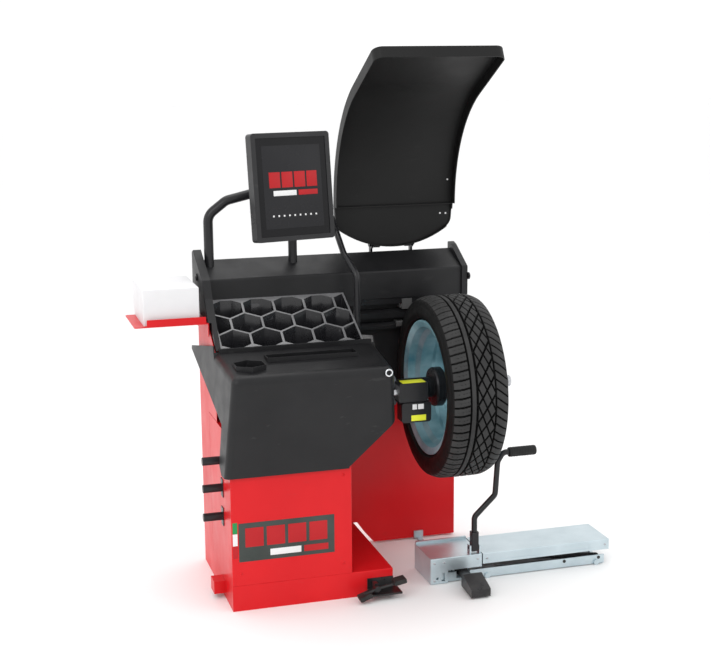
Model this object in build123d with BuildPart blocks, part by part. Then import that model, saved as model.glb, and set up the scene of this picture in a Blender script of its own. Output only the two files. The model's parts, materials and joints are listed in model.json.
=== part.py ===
"""Wheel balancer with a mounted road wheel and a low wheel lift. Millimetres, +Z up.

The origin is on the floor under the middle of the base. X runs along the balancing spindle, towards the
wheel, and Y runs from the operator's side to the rear. Heights are above the floor. Distances
along X and Y are counted from the left side and the front face of the base.
"""
import os
from math import cos, radians, sin, tan

from build123d import *

os.makedirs("parts", exist_ok=True)

# ---- Base and cabinets, folded sheet steel -------------------------------------------------
plinth_width = 558.0
plinth_depth = 517.0
plinth_height = 89.5
plinth_sheet = 3.0
floor_flange = 45.0  # inward flange that rests on the floor
anchor_pitch_x = 510.0
anchor_pitch_y = 470.0
anchor_radius = 7.0
left = -plinth_width / 2  # X of the base's left side
front = -plinth_depth / 2  # Y of the base's front face
panel_sheet = 2.0
cabinet_width = 414.0
cabinet_depth = 350.0
cabinet_top = 600.0
seam_gap = 2.0
column_top = 926.0
window_front = 208.0  # front edge of the column's raised side walls
rear_panel_right = 960.0
rear_panel_front = 481.0
rear_panel_top = 600.0
beam_top = 950.0
beam_rear = 592.0

# ---- Spindle, along X ----------------------------------------------------------------------
spindle_y = 116.0
spindle_z = 689.0
shaft_radius = 20.0
shaft_end = 1030.0
running_gap = 0.05
bearing_radius = 40.0
housing_radius = 52.0
spindle_pulley_radius = 70.0
motor_pulley_radius = 25.0
motor_y = 200.0
motor_z = 430.0
pulley_x = 200.0
pulley_width = 22.0

# ---- Road wheel, 205/50 R17 ----------------------------------------------------------------
wheel_x = 806.0  # centre plane of the wheel
tyre_radius = 317.0
tyre_width = 208.0
tread_width = 182.0
rim_radius = 234.0
bead_radius = 218.0
rim_width = 184.0
disc_x = 857.0  # mounting face of the wheel disc
disc_thickness = 16.0
wheel_bore = 33.3
bolt_circle = 56.0

# ---- Covers, trays and the top shelf, moulded plastic --------------------------------------
skin = 4.0
cover_middle = 277.0  # X of the cover's middle plane
cover_bottom = 464.0
cover_front_low = -12.0
cover_front_high = -62.0
cover_nose_z = 812.0
cover_top_z = 843.0
tray_left = 25.0
tray_right_top = 511.0
tray_right_bottom = 528.0
tray_front = 220.0
tray_front_z = 842.0
tray_rear = 428.0
tray_rear_z = 982.0
hexagon_pitch = 110.0
hexagon_half_width = 51.0
hexagon_half_height = 48.0
shelf_left = 21.0
shelf_right = 962.0
shelf_front = 428.0
shelf_front_z = 1052.0
shelf_rear = 562.0
shelf_rear_z = 1110.0

side_tray_z = 927.0

# ---- Guard ---------------------------------------------------------------------------------
guard_left = 522.0
guard_right = 980.0
guard_back = 582.0
guard_crease = 1272.0
guard_bend = 500.0  # inner radius of the bend
guard_turn = 62.0  # degrees turned by the bend
guard_reach = 280.0  # straight part beyond the bend
guard_sheet = 4.0
guard_flange = 40.0
hinge_y = 606.0
hinge_z = 1128.0
hinge_radius = 12.0

# ---- Monitor -------------------------------------------------------------------------------
monitor_centre = (324.0, 385.0, 1373.0)
monitor_width = 301.0
monitor_height = 374.0
monitor_depth = 42.0
monitor_yaw = 12.4  # degrees turned towards the operator
monitor_lean = 6.5  # degrees leaned back

arch_x = 46.0
arch_y = 520.0
arch_radius = 17.0
post_x = 350.0
post_radius = 16.0
crossbar_z = 1338.0

# ---- Distance gauge ------------------------------------------------------------------------
gauge_y = 25.0
gauge_z = 703.0
gauge_rod_radius = 12.0

# ---- Brake pedal ---------------------------------------------------------------------------
pedal_x = 484.0
pedal_z = 46.0
pedal_pin_radius = 5.0

foot_pedal_pin = (60.0, 30.0)  # the lift's pedal: distance from the front, and height

# ---- Wheel lift ----------------------------------------------------------------------------
lift_left = 703.0
lift_joint = 894.0  # right end of the fixed housing
lift_right = 1386.0
lift_front = 20.0
lift_rear = 193.0
lift_top = 95.0
lift_sheet = 3.0
lift_arm_length = 300.0
lift_arm_rest = 6.0  # degrees above level at rest
lift_pivot_near = 1215.0
lift_pivot_far = 1350.0
lift_pivot_z = 26.0
lift_pin = 6.0
handle_x = 873.0
handle_y = 42.0
handle_z = 115.0


def block(x, y, z, mode=Mode.ADD):
    """A box between two distances along X and Y and two heights."""
    with Locations((left + sum(x) / 2, front + sum(y) / 2, sum(z) / 2)):
        Box(x[1] - x[0], y[1] - y[0], z[1] - z[0], mode=mode)


def face(*points, mode=Mode.ADD):
    """A face inside straight lines through the points."""
    Polygon(*points, align=None, mode=mode)


def side_plane(x):
    """The plane across X whose local axes are Y and Z, counted from the front and the floor."""
    return Plane(origin=(left + x, front, 0), x_dir=(0, 1, 0), z_dir=(1, 0, 0))


def front_plane(y):
    """The plane across Y whose local axes are X and Z. Its normal points to the front."""
    return Plane(origin=(left, front + y, 0), x_dir=(1, 0, 0), z_dir=(0, -1, 0))


def top_plane(z):
    """The level plane at one height whose local axes are X and Y."""
    return Plane(origin=(left, front, z))


def rod_x(x, y, z, radius, mode=Mode.ADD):
    """A round rod along X, between two distances."""
    with Locations(Location((left + sum(x) / 2, front + y, z), (0, 90, 0))):
        Cylinder(radius, x[1] - x[0], mode=mode)


def at(x, y, z):
    """A point given by its distances from the left and the front, and its height."""
    return (left + x, front + y, z)


# ==== Base and cabinets =====================================================================
with BuildPart() as base_plinth:
    block((0, plinth_width), (0, plinth_depth), (0, plinth_height))
    fillet(base_plinth.edges().filter_by(Axis.X).group_by(Axis.Z)[-1], 3)
    block(
        (plinth_sheet, plinth_width - plinth_sheet),
        (plinth_sheet, plinth_depth - plinth_sheet),
        (plinth_sheet, plinth_height - plinth_sheet),
        Mode.SUBTRACT,
    )
    block(
        (floor_flange, plinth_width - floor_flange),
        (floor_flange, plinth_depth - floor_flange),
        (-1, plinth_sheet + 1),
        Mode.SUBTRACT,
    )
    with BuildSketch(top_plane(0)):
        with Locations((plinth_width / 2, plinth_depth / 2)):
            with GridLocations(anchor_pitch_x, anchor_pitch_y, 2, 2):
                Circle(anchor_radius)
    extrude(amount=plinth_sheet, mode=Mode.SUBTRACT)
    # a boxed lug on the left side, where a transport bar hooks in
    block((-40, 0), (127, 187), (19, 63))
    block((-36, 0), (131, 183), (16, 59), Mode.SUBTRACT)
base_plinth.part.label = "base_plinth"
export_step(base_plinth.part, "parts/base_plinth.step")

with BuildPart() as front_cabinet:
    block((0, cabinet_width), (0, cabinet_depth), (plinth_height, cabinet_top))
    fillet(front_cabinet.edges().filter_by(Axis.Z).group_by(Axis.Y)[0], 3)
    block(
        (panel_sheet, cabinet_width - panel_sheet),
        (panel_sheet, cabinet_depth + 1),
        (plinth_height - 1, cabinet_top - panel_sheet),
        Mode.SUBTRACT,
    )
    # the slot that the drive belt passes through
    block((pulley_x - 15, pulley_x + 37), (30, 245), (590, cabinet_top + 1), Mode.SUBTRACT)
front_cabinet.part.label = "front_cabinet"
export_step(front_cabinet.part, "parts/front_cabinet.step")

with BuildPart() as rear_column:
    column_front = cabinet_depth + seam_gap
    with BuildSketch(side_plane(0)):
        face(
            (column_front, plinth_height),
            (plinth_depth, plinth_height),
            (plinth_depth, column_top),
            (340, column_top),
            (window_front, 842),
            (window_front, cabinet_top + seam_gap),
            (column_front, cabinet_top + seam_gap),
        )
    extrude(amount=cabinet_width)
    block(
        (panel_sheet, cabinet_width - panel_sheet),
        (0, plinth_depth - panel_sheet),
        (plinth_height - 1, column_top + 1),
        Mode.SUBTRACT,
    )
    # the right wall is low, to leave room for the weight tray
    block((10, cabinet_width + 1), (0, 432), (790, column_top + 1), Mode.SUBTRACT)
rear_column.part.label = "rear_column"
export_step(rear_column.part, "parts/rear_column.step")

panel_left = cabinet_width + seam_gap
panel_outline = (
    (panel_left, plinth_height + seam_gap),
    (572, plinth_height + seam_gap),
    (604, 46),
    (637, 8),
    (rear_panel_right, 8),
    (rear_panel_right, rear_panel_top),
    (panel_left, rear_panel_top),
)
with BuildPart() as rear_panel:
    with BuildSketch(front_plane(plinth_depth)):
        face(*panel_outline)
    extrude(amount=plinth_depth - rear_panel_front)
    fillet(rear_panel.edges().filter_by(Axis.Z).group_by(Axis.X)[-1], 3)
    with BuildSketch(front_plane(plinth_depth)):
        face(*panel_outline)
        offset(amount=-panel_sheet, kind=Kind.INTERSECTION, mode=Mode.REPLACE)
    extrude(amount=plinth_depth - rear_panel_front - panel_sheet, mode=Mode.SUBTRACT)
rear_panel.part.label = "rear_panel"
export_step(rear_panel.part, "parts/rear_panel.step")

with BuildPart() as top_beam:
    block((shelf_left + 1, 960), (436, beam_rear), (beam_top - 22, beam_top))
    block((shelf_left + 9, 952), (444, beam_rear - 8), (beam_top - 23, beam_top - 4), Mode.SUBTRACT)
top_beam.part.label = "top_beam"
export_step(top_beam.part, "parts/top_beam.step")

# ==== Front cover ===========================================================================
# The cover's sides lean: each is a plane that moves outwards downwards and to the rear.
lean_down = 0.0634
lean_back = 0.0537
side_start = 325.0  # half width of the cover at the floor and the front face


def cover_side(sign, inset):
    """The leaning side plane of the cover, with its normal pointing outwards."""
    normal = Vector(sign, -lean_back, lean_down)
    start = cover_middle + sign * (side_start - inset)
    return Plane(origin=(left + start, front, 0), x_dir=(0, 1, lean_back / lean_down), z_dir=normal)


def between_cover_sides(builder, inset):
    """Cut a solid back to the space between the two leaning side planes."""
    for sign in (-1, 1):
        split(builder.part, bisect_by=cover_side(sign, inset), keep=Keep.BOTTOM, mode=Mode.REPLACE)


with BuildPart(mode=Mode.PRIVATE) as cover_hollow:
    with BuildSketch(side_plane(-60)):
        face(
            (cover_front_low + 8.6 + skin, cover_bottom - 60),
            (cover_front_high + skin, cover_nose_z - skin),
            (205, cover_top_z - skin),
            (205, 1000),
            (700, 1000),
            (700, cover_bottom - 60),
        )
    extrude(amount=700)
    between_cover_sides(cover_hollow, skin)
    hollow_corners = cover_hollow.edges().filter_by(lambda e: abs(e.tangent_at(0.5).Z) > 0.9)
    fillet(hollow_corners.group_by(Axis.Y)[0], 16)
    fillet(cover_hollow.edges().group_by(Axis.Y)[0], 24)

cup_x = 82.0
cup_y = 40.0
cup_floor = 795.0
with BuildPart() as front_cover:
    with BuildSketch(side_plane(-60)):
        face(
            (cover_front_low, cover_bottom),
            (cover_front_high, cover_nose_z),
            (205, cover_top_z),
            (215, 864),
            (522, 806),
            (522, 794),
            (62, 632),
            (72, 492),
            (40, cover_bottom),
        )
    extrude(amount=700)
    between_cover_sides(front_cover, 0)
    front_corners = front_cover.edges().filter_by(lambda e: abs(e.tangent_at(0.5).Z) > 0.9)
    fillet(front_corners.group_by(Axis.Y)[0], 20)
    fillet(front_cover.edges().group_by(Axis.Y)[0], 28)
    # the corner under the wheel side is cut away at a slant
    with BuildSketch(front_plane(600)):
        face((404, 470), (404, 400), (700, 400), (700, 640), (575, 640), (553, 612))
    extrude(amount=700, mode=Mode.SUBTRACT)
    add(cover_hollow.part, mode=Mode.SUBTRACT)
    # a six-sided cup for small tools, moulded into the top
    with BuildSketch(top_plane(cup_floor - skin)):
        with Locations((cup_x, cup_y)):
            RegularPolygon(58, 6, rotation=30)
    extrude(amount=44)
    with BuildSketch(top_plane(cup_floor)):
        with Locations((cup_x, cup_y)):
            RegularPolygon(54, 6, rotation=30)
    extrude(amount=80, mode=Mode.SUBTRACT)
    # a long shallow tray for a pen or a scraper
    block((150, 462), (72, 128), (815, 842))
    block((154, 458), (76, 124), (819, 860), Mode.SUBTRACT)
    # a raised lip behind the top
    block((12, 545), (192, 207), (cover_top_z - skin, cover_top_z + 12))
    # clearance holes for the spindle housing and the gauge's rod
    rod_x((500, 640), spindle_y, spindle_z, housing_radius + 3, Mode.SUBTRACT)
    rod_x((500, 640), gauge_y, gauge_z, gauge_rod_radius + 7.2, Mode.SUBTRACT)
    # the right side stops in front of the backing panel
    block((500, 700), (452, 600), (600, 1000), Mode.SUBTRACT)
front_cover.part.label = "front_cover"
export_step(front_cover.part, "parts/front_cover.step")

with BuildPart() as lock_ring:
    with Locations(Location(at(527, -66, 795), (90, 0, 0))):
        Torus(11, 2.6)
    # two studs hold the ring against the cover
    for stud_z in (784, 806):
        with Locations(Location(at(527, -62.5, stud_z), (90, 0, 0))):
            Cylinder(2, 9)
    add(front_cover.part, mode=Mode.SUBTRACT)
lock_ring.part.label = "lock_ring"
export_step(lock_ring.part, "parts/lock_ring.step")

# ==== Weight tray ===========================================================================
tray_slope = (tray_rear_z - tray_front_z) / (tray_rear - tray_front)
row_pitch = 1.5 * hexagon_half_height + 5
tray_wall = 3.5
pocket_depth = 26.0  # depth at a pocket's lower end


def slope_height(y):
    """Height of the weight tray's sloping top at one distance from the front."""
    return tray_front_z + (y - tray_front) * tray_slope


def hexagon(x, y, margin, mode=Mode.ADD):
    """A pocket's outline seen from above, grown by a margin."""
    across = hexagon_half_width + margin
    along = (hexagon_half_height + margin) / (1 + tray_slope**2) ** 0.5
    face(
        (x, y - along),
        (x + across, y - along / 2),
        (x + across, y + along / 2),
        (x, y + along),
        (x - across, y + along / 2),
        (x - across, y - along / 2),
        mode=mode,
    )


row_step = row_pitch / (1 + tray_slope**2) ** 0.5
pocket_rows = [
    (tray_front + 42, 82),
    (tray_front + 42 + row_step, 27),
    (tray_front + 42 + 2 * row_step, 82),
]
with BuildPart() as weight_tray:
    with BuildSketch(side_plane(tray_left)):
        face(
            (tray_front, tray_front_z),
            (tray_rear, slope_height(tray_rear)),
            (tray_rear, slope_height(tray_rear) - 6),
            (tray_front, tray_front_z - 6),
        )
    extrude(amount=tray_right_bottom - tray_left)
    for row_y, first_x in pocket_rows:
        floor_z = slope_height(row_y - 36) - pocket_depth
        with BuildSketch(top_plane(floor_z - tray_wall)):
            for column in range(5):
                hexagon(first_x + column * hexagon_pitch, row_y, 4.4)
        extrude(amount=150)
    # everything above the slope is cut off
    with BuildSketch(side_plane(-60)):
        face((100, slope_height(100)), (600, slope_height(600)), (600, 1400), (100, 1400))
    extrude(amount=700, mode=Mode.SUBTRACT)
    for row_y, first_x in pocket_rows:
        floor_z = slope_height(row_y - 36) - pocket_depth
        with BuildSketch(top_plane(floor_z)):
            for column in range(5):
                hexagon(first_x + column * hexagon_pitch, row_y, 0)
            with BuildLine():
                Polyline(
                    (tray_left + 5, tray_front + 2),
                    (tray_right_bottom - 7, tray_front + 2),
                    (tray_right_top - 6, tray_rear - 6),
                    (tray_left + 5, tray_rear - 6),
                    close=True,
                )
            make_face(mode=Mode.INTERSECT)
        extrude(amount=150, mode=Mode.SUBTRACT)
    # the outline tapers on the wheel side
    with BuildSketch(top_plane(700)):
        face(
            (tray_left, tray_front - 10),
            (tray_right_bottom, tray_front - 10),
            (tray_right_bottom, tray_front),
            (tray_right_top, tray_rear),
            (tray_left, tray_rear),
        )
    extrude(amount=400, mode=Mode.INTERSECT)
weight_tray.part.label = "weight_tray"
export_step(weight_tray.part, "parts/weight_tray.step")

# ==== Shelf and its cheeks ==================================================================
with BuildPart() as shelf:
    with BuildSketch(side_plane(shelf_left)):
        face(
            (shelf_front, beam_top + 2),
            (shelf_front, shelf_front_z),
            (shelf_rear, shelf_rear_z),
            (shelf_rear, beam_top + 2),
        )
    extrude(amount=shelf_right - shelf_left)
    fillet(shelf.edges().filter_by(Axis.X).group_by(Axis.Z)[1:], 9)
    offset(amount=-skin, openings=shelf.faces().sort_by(Axis.Z)[0])
    # holes for the monitor's tubes
    for tube_x, tube_radius in ((arch_x, arch_radius), (post_x, post_radius)):
        with Locations(at(tube_x, arch_y, shelf_rear_z)):
            Cylinder(tube_radius + 0.3, 120, mode=Mode.SUBTRACT)
shelf.part.label = "shelf"
export_step(shelf.part, "parts/shelf.step")

cheek_left = -8.0
with BuildPart() as left_cheek:
    with BuildSketch(side_plane(cheek_left)):
        face(
            (206, 848),
            (338, 1003),
            (372, 1062),
            (540, 1146),
            (566, 1136),
            (566, 953),
            (340, 930),
        )
    extrude(amount=shelf_left - cheek_left)
    fillet(left_cheek.edges().filter_by(Axis.X).group_by(Axis.Z)[-3:], 10)
    fillet(left_cheek.faces().sort_by(Axis.X)[0].edges(), 3)
    # it steps inside the red side wall
    block((cheek_left - 1, 4), (100, 700), (800, side_tray_z + 4), Mode.SUBTRACT)
left_cheek.part.label = "left_cheek"
export_step(left_cheek.part, "parts/left_cheek.step")

cheek_right = 985.0
with BuildPart() as right_cheek:
    with BuildSketch(side_plane(shelf_right)):
        face((418, 950), (418, 1056), (540, 1122), (574, 1131), (574, 950))
    extrude(amount=cheek_right - shelf_right)
    fillet(right_cheek.edges().filter_by(Axis.X).group_by(Axis.Z)[-3:], 9)
    fillet(right_cheek.faces().sort_by(Axis.X)[-1].edges(), 3)
right_cheek.part.label = "right_cheek"
export_step(right_cheek.part, "parts/right_cheek.step")

# ==== Backing behind the wheel ==============================================================
backing_left = 548.0
backing_front = 470.0
with BuildPart() as backing_panel:
    block(
        (backing_left, rear_panel_right),
        (backing_front, plinth_depth),
        (rear_panel_top + 2, beam_top - 24),
    )
    fillet(backing_panel.edges().filter_by(Axis.Z).group_by(Axis.Y)[0], 8)
    offset(amount=-skin, openings=backing_panel.faces().sort_by(Axis.Y)[-1])
    # two ledges under the shelf, with a long slot between them
    for low, high in ((872, 906), (832, 858)):
        with BuildSketch(side_plane(backing_left + 10)):
            face(
                (backing_front + 1, low),
                (440, low + 4),
                (440, high - 10),
                (452, high),
                (backing_front + 1, high),
            )
        extrude(amount=rear_panel_right - backing_left - 20)
backing_panel.part.label = "backing_panel"
export_step(backing_panel.part, "parts/backing_panel.step")

with BuildPart() as work_lamp:
    block((728, 792), (434, backing_front - 1), (912, 925))
    block((734, 772), (428, 434), (907, 946))
    fillet(work_lamp.edges().filter_by(Axis.X).group_by(Axis.Y)[0], 1.5)
work_lamp.part.label = "work_lamp"
export_step(work_lamp.part, "parts/work_lamp.step")

# ==== Side tray =============================================================================
tray_sheet = 3.0
side_tray_left = -256.0
side_tray_front = 278.0
side_tray_rear = 520.0
with BuildPart() as side_tray:
    with BuildSketch(top_plane(side_tray_z)):
        face(
            (-4, side_tray_front),
            (side_tray_left, side_tray_front),
            (side_tray_left, side_tray_rear),
            (-4, side_tray_rear),
        )
    extrude(amount=tray_sheet)
    fillet(side_tray.edges().filter_by(Axis.Z).group_by(Axis.X)[0], 8)
    block(
        (-214, -14),
        (side_tray_front, side_tray_front + tray_sheet),
        (side_tray_z, side_tray_z + 26),
    )
    block((-7, -4), (side_tray_front + 4, side_tray_rear), (side_tray_z - 44, side_tray_z))
    fillet(side_tray.edges().filter_by(Axis.Y).group_by(Axis.Z)[-1], 2)
side_tray.part.label = "side_tray"
export_step(side_tray.part, "parts/side_tray.step")

with BuildPart() as accessory_box:
    block((-222, -32), (298, 560), (side_tray_z + tray_sheet, 1052))
    fillet(accessory_box.edges().filter_by(Axis.Z), 3)
    fillet(accessory_box.edges().group_by(Axis.Z)[-1], 2)
accessory_box.part.label = "accessory_box"
export_step(accessory_box.part, "parts/accessory_box.step")

# ==== Storage pegs on the left side =========================================================
peg_radius = 14.0
peg_length = 68.0
peg_places = ((132, 490), (136, 393), (140, 291))
with BuildPart() as storage_pegs:
    for peg_y, peg_z in peg_places:
        rod_x((-peg_length, 0), peg_y, peg_z, peg_radius)
        block((-3, 0), (peg_y - 16, peg_y + 16), (peg_z - 31, peg_z + 31))
    fillet(storage_pegs.edges().filter_by(GeomType.CIRCLE).group_by(Axis.X)[0], 2)
storage_pegs.part.label = "storage_pegs"
export_step(storage_pegs.part, "parts/storage_pegs.step")

# ==== Monitor and its tubes =================================================================
with BuildPart() as monitor_arch:
    with BuildLine() as route:
        FilletPolyline(
            at(arch_x, arch_y, beam_top),
            at(arch_x, arch_y, 1268),
            at(112, arch_y, 1318),
            at(200, arch_y, crossbar_z),
            at(452, arch_y, crossbar_z),
            radius=50,
        )
    with BuildSketch(Plane(origin=route.line @ 0, z_dir=route.line % 0)):
        Circle(arch_radius)
    sweep(path=route.line)
    rod_x((452, 458), arch_y, crossbar_z, arch_radius - 1)
monitor_arch.part.label = "monitor_arch"
export_step(monitor_arch.part, "parts/monitor_arch.step")

with BuildPart() as monitor_post:
    with Locations(Location(at(post_x, arch_y, (beam_top + crossbar_z - arch_radius) / 2))):
        Cylinder(post_radius, crossbar_z - arch_radius - beam_top - 0.5)
monitor_post.part.label = "monitor_post"
export_step(monitor_post.part, "parts/monitor_post.step")

strut_radius = 11.0
with BuildPart() as monitor_strut:
    with BuildLine() as route:
        FilletPolyline(
            at(532, 320, 850),
            at(532, 320, 1060),
            at(505, 395, 1130),
            at(504, 478, 1190),
            at(498, arch_y, 1240),
            at(448, arch_y, crossbar_z - 8),
            radius=45,
        )
    with BuildSketch(Plane(origin=route.line @ 0, z_dir=route.line % 0)):
        Circle(strut_radius)
    sweep(path=route.line)
    # its head is cut to fit round the crossbar
    rod_x((400, 500), arch_y, crossbar_z, arch_radius, Mode.SUBTRACT)
    # its foot reaches under the weight tray to the column's right wall
    block((521, 543), (309, 460), (843, 851))
    block((cabinet_width, 543), (440, 460), (843, 851))
monitor_strut.part.label = "monitor_strut"
export_step(monitor_strut.part, "parts/monitor_strut.step")

yaw = radians(monitor_yaw)
lean = radians(monitor_lean)
screen_right = Vector(cos(yaw), sin(yaw), 0)
screen_up = Vector(-sin(yaw) * sin(lean), cos(yaw) * sin(lean), cos(lean))
screen_front = screen_right.cross(screen_up)  # points at the operator
screen_middle = Vector(*at(*monitor_centre))


def screen_plane(depth):
    """The plane of the monitor's front, or one that far behind it. Its normal points forward."""
    return Plane(origin=screen_middle - screen_front * depth, x_dir=screen_right, z_dir=screen_front)


tilt_back = 88.0  # from the monitor's front to its tilt pin
tilt_point = screen_middle - screen_front * tilt_back
pan_x = tilt_point.X - left
pan_y = tilt_point.Y - front
pan_pin_radius = 6.0
bracket_half = 8.0
with BuildPart() as monitor_bracket:
    # a clamp round the crossbar, with an upright bore for the yoke's pin
    block((pan_x - 22, pan_x + 22), (arch_y - 24, arch_y + 24), (crossbar_z - 24, crossbar_z + 24))
    rod_x((pan_x - 30, pan_x + 30), arch_y, crossbar_z, arch_radius, Mode.SUBTRACT)
    block(
        (pan_x - 14, pan_x + 14),
        (pan_y, arch_y - 22),
        (crossbar_z - bracket_half, crossbar_z + bracket_half),
    )
    with Locations(at(pan_x, pan_y, crossbar_z)):
        Cylinder(16, 2 * bracket_half)
        Cylinder(pan_pin_radius + running_gap, 40, mode=Mode.SUBTRACT)
monitor_bracket.part.label = "monitor_bracket"
export_step(monitor_bracket.part, "parts/monitor_bracket.step")

yoke_gap = 0.4
yoke_base = crossbar_z + bracket_half + yoke_gap
tilt_pin = Plane(origin=tilt_point, x_dir=(0, 0, 1), z_dir=screen_right)
with BuildPart() as monitor_yoke:
    with Locations(at(pan_x, pan_y, yoke_base - 12)):
        Cylinder(pan_pin_radius, 28)
    with Locations(at(pan_x, pan_y, yoke_base + 4)):
        Cylinder(15, 8)
    with BuildSketch(Plane(origin=at(pan_x, pan_y, yoke_base), x_dir=screen_right, z_dir=(0, 0, 1))):
        Rectangle(28, 18)
    extrude(amount=tilt_point.Z + 9 - yoke_base)
    with Locations(tilt_pin.location):
        Cylinder(5, 60)
monitor_yoke.part.label = "monitor_yoke"
export_step(monitor_yoke.part, "parts/monitor_yoke.step")

bezel_width = 17.0
window_width = monitor_width - 2 * bezel_width
window_height = monitor_height - 2 * bezel_width
with BuildPart() as monitor_housing:
    with BuildSketch(screen_plane(monitor_depth)):
        RectangleRounded(monitor_width, monitor_height, 12)
    extrude(amount=monitor_depth - 6)
    # two ears behind the housing carry the tilt pin
    for side in (-1, 1):
        with BuildSketch(screen_plane(tilt_back + 10)):
            with Locations((side * 20, 0)):
                Rectangle(10, 26)
        extrude(amount=tilt_back + 10 - monitor_depth + 1)
    with Locations(tilt_pin.location):
        Cylinder(5 + running_gap, 80, mode=Mode.SUBTRACT)
monitor_housing.part.label = "monitor_housing"
export_step(monitor_housing.part, "parts/monitor_housing.step")

with BuildPart() as monitor_bezel:
    with BuildSketch(screen_plane(6)):
        RectangleRounded(monitor_width, monitor_height, 12)
        RectangleRounded(window_width, window_height, 3, mode=Mode.SUBTRACT)
    extrude(amount=6)
monitor_bezel.part.label = "monitor_bezel"
export_step(monitor_bezel.part, "parts/monitor_bezel.step")

with BuildPart() as monitor_screen:
    with BuildSketch(screen_plane(5.9)):
        RectangleRounded(window_width - 0.4, window_height - 0.4, 3)
    extrude(amount=3)
monitor_screen.part.label = "monitor_screen"
export_step(monitor_screen.part, "parts/monitor_screen.step")

# ==== Spindle and drive =====================================================================
# The plane for turned profiles: X runs along the spindle and the radius points upwards.
turning_plane = Plane(origin=at(0, spindle_y, spindle_z), x_dir=(1, 0, 0), z_dir=(0, -1, 0))
spindle_axis = Axis(at(0, spindle_y, spindle_z), (1, 0, 0))

with BuildPart() as spindle_housing:
    block((250, 408), (spindle_y - 70, spindle_y + 70), (cabinet_top, cabinet_top + 14))
    block((270, 400), (spindle_y - 40, spindle_y + 40), (cabinet_top + 14, spindle_z - 30))
    rod_x((262, 600), spindle_y, spindle_z, housing_radius)
    rod_x((250, 610), spindle_y, spindle_z, bearing_radius, Mode.SUBTRACT)
spindle_housing.part.label = "spindle_housing"
export_step(spindle_housing.part, "parts/spindle_housing.step")

with BuildPart() as spindle_bearings:
    for start in (270, 560):
        rod_x((start, start + 23), spindle_y, spindle_z, bearing_radius)
    rod_x((200, 700), spindle_y, spindle_z, shaft_radius + running_gap, Mode.SUBTRACT)
spindle_bearings.part.label = "spindle_bearings"
export_step(spindle_bearings.part, "parts/spindle_bearings.step")

with BuildPart() as spindle_shaft:
    rod_x((pulley_x - 10, shaft_end), spindle_y, spindle_z, shaft_radius)
    chamfer(spindle_shaft.edges().filter_by(GeomType.CIRCLE).group_by(Axis.X)[-1], 3)
spindle_shaft.part.label = "spindle_shaft"
export_step(spindle_shaft.part, "parts/spindle_shaft.step")

with BuildPart() as spindle_pulley:
    rod_x((pulley_x, pulley_x + pulley_width), spindle_y, spindle_z, spindle_pulley_radius)
    rod_x((pulley_x - 1, pulley_x + pulley_width + 1), spindle_y, spindle_z, shaft_radius, Mode.SUBTRACT)
spindle_pulley.part.label = "spindle_pulley"
export_step(spindle_pulley.part, "parts/spindle_pulley.step")

with BuildPart() as encoder_disc:
    rod_x((236, 239), spindle_y, spindle_z, 62)
    rod_x((230, 250), spindle_y, spindle_z, shaft_radius, Mode.SUBTRACT)
encoder_disc.part.label = "encoder_disc"
export_step(encoder_disc.part, "parts/encoder_disc.step")

with BuildPart() as hub_flange:
    with BuildSketch(turning_plane):
        face(
            (604, shaft_radius),
            (604, 36),
            (738, 36),
            (738, 64),
            (744, 68),
            (770, 68),
            (776, 62),
            (776, 46),
            (800, 46),
            (812, 74),
            (disc_x, 74),
            (disc_x, shaft_radius),
        )
    revolve(axis=spindle_axis)
hub_flange.part.label = "hub_flange"
export_step(hub_flange.part, "parts/hub_flange.step")

with BuildPart() as centring_cone:
    with BuildSketch(turning_plane):
        face((858, shaft_radius), (858, 25), (896, 43), (902, 43), (902, shaft_radius))
    revolve(axis=spindle_axis)
centring_cone.part.label = "centring_cone"
export_step(centring_cone.part, "parts/centring_cone.step")

with BuildPart() as quick_nut:
    with BuildSketch(turning_plane):
        face(
            (903, shaft_radius),
            (903, 50),
            (922, 50),
            (932, 34),
            (1000, 34),
            (1006, 28),
            (1014, 28),
            (1014, shaft_radius + running_gap),
            (903, shaft_radius + running_gap),
        )
    revolve(axis=spindle_axis)
    for turn in (0, 90, 180, 270):
        outwards = (0, sin(radians(turn)), cos(radians(turn)))
        arm_plane = Plane(origin=at(962, spindle_y, spindle_z), x_dir=(1, 0, 0), z_dir=outwards)
        with BuildSketch(arm_plane.offset(30)):
            SlotOverall(40, 18)
        extrude(amount=40)
quick_nut.part.label = "quick_nut"
export_step(quick_nut.part, "parts/quick_nut.step")

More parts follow.
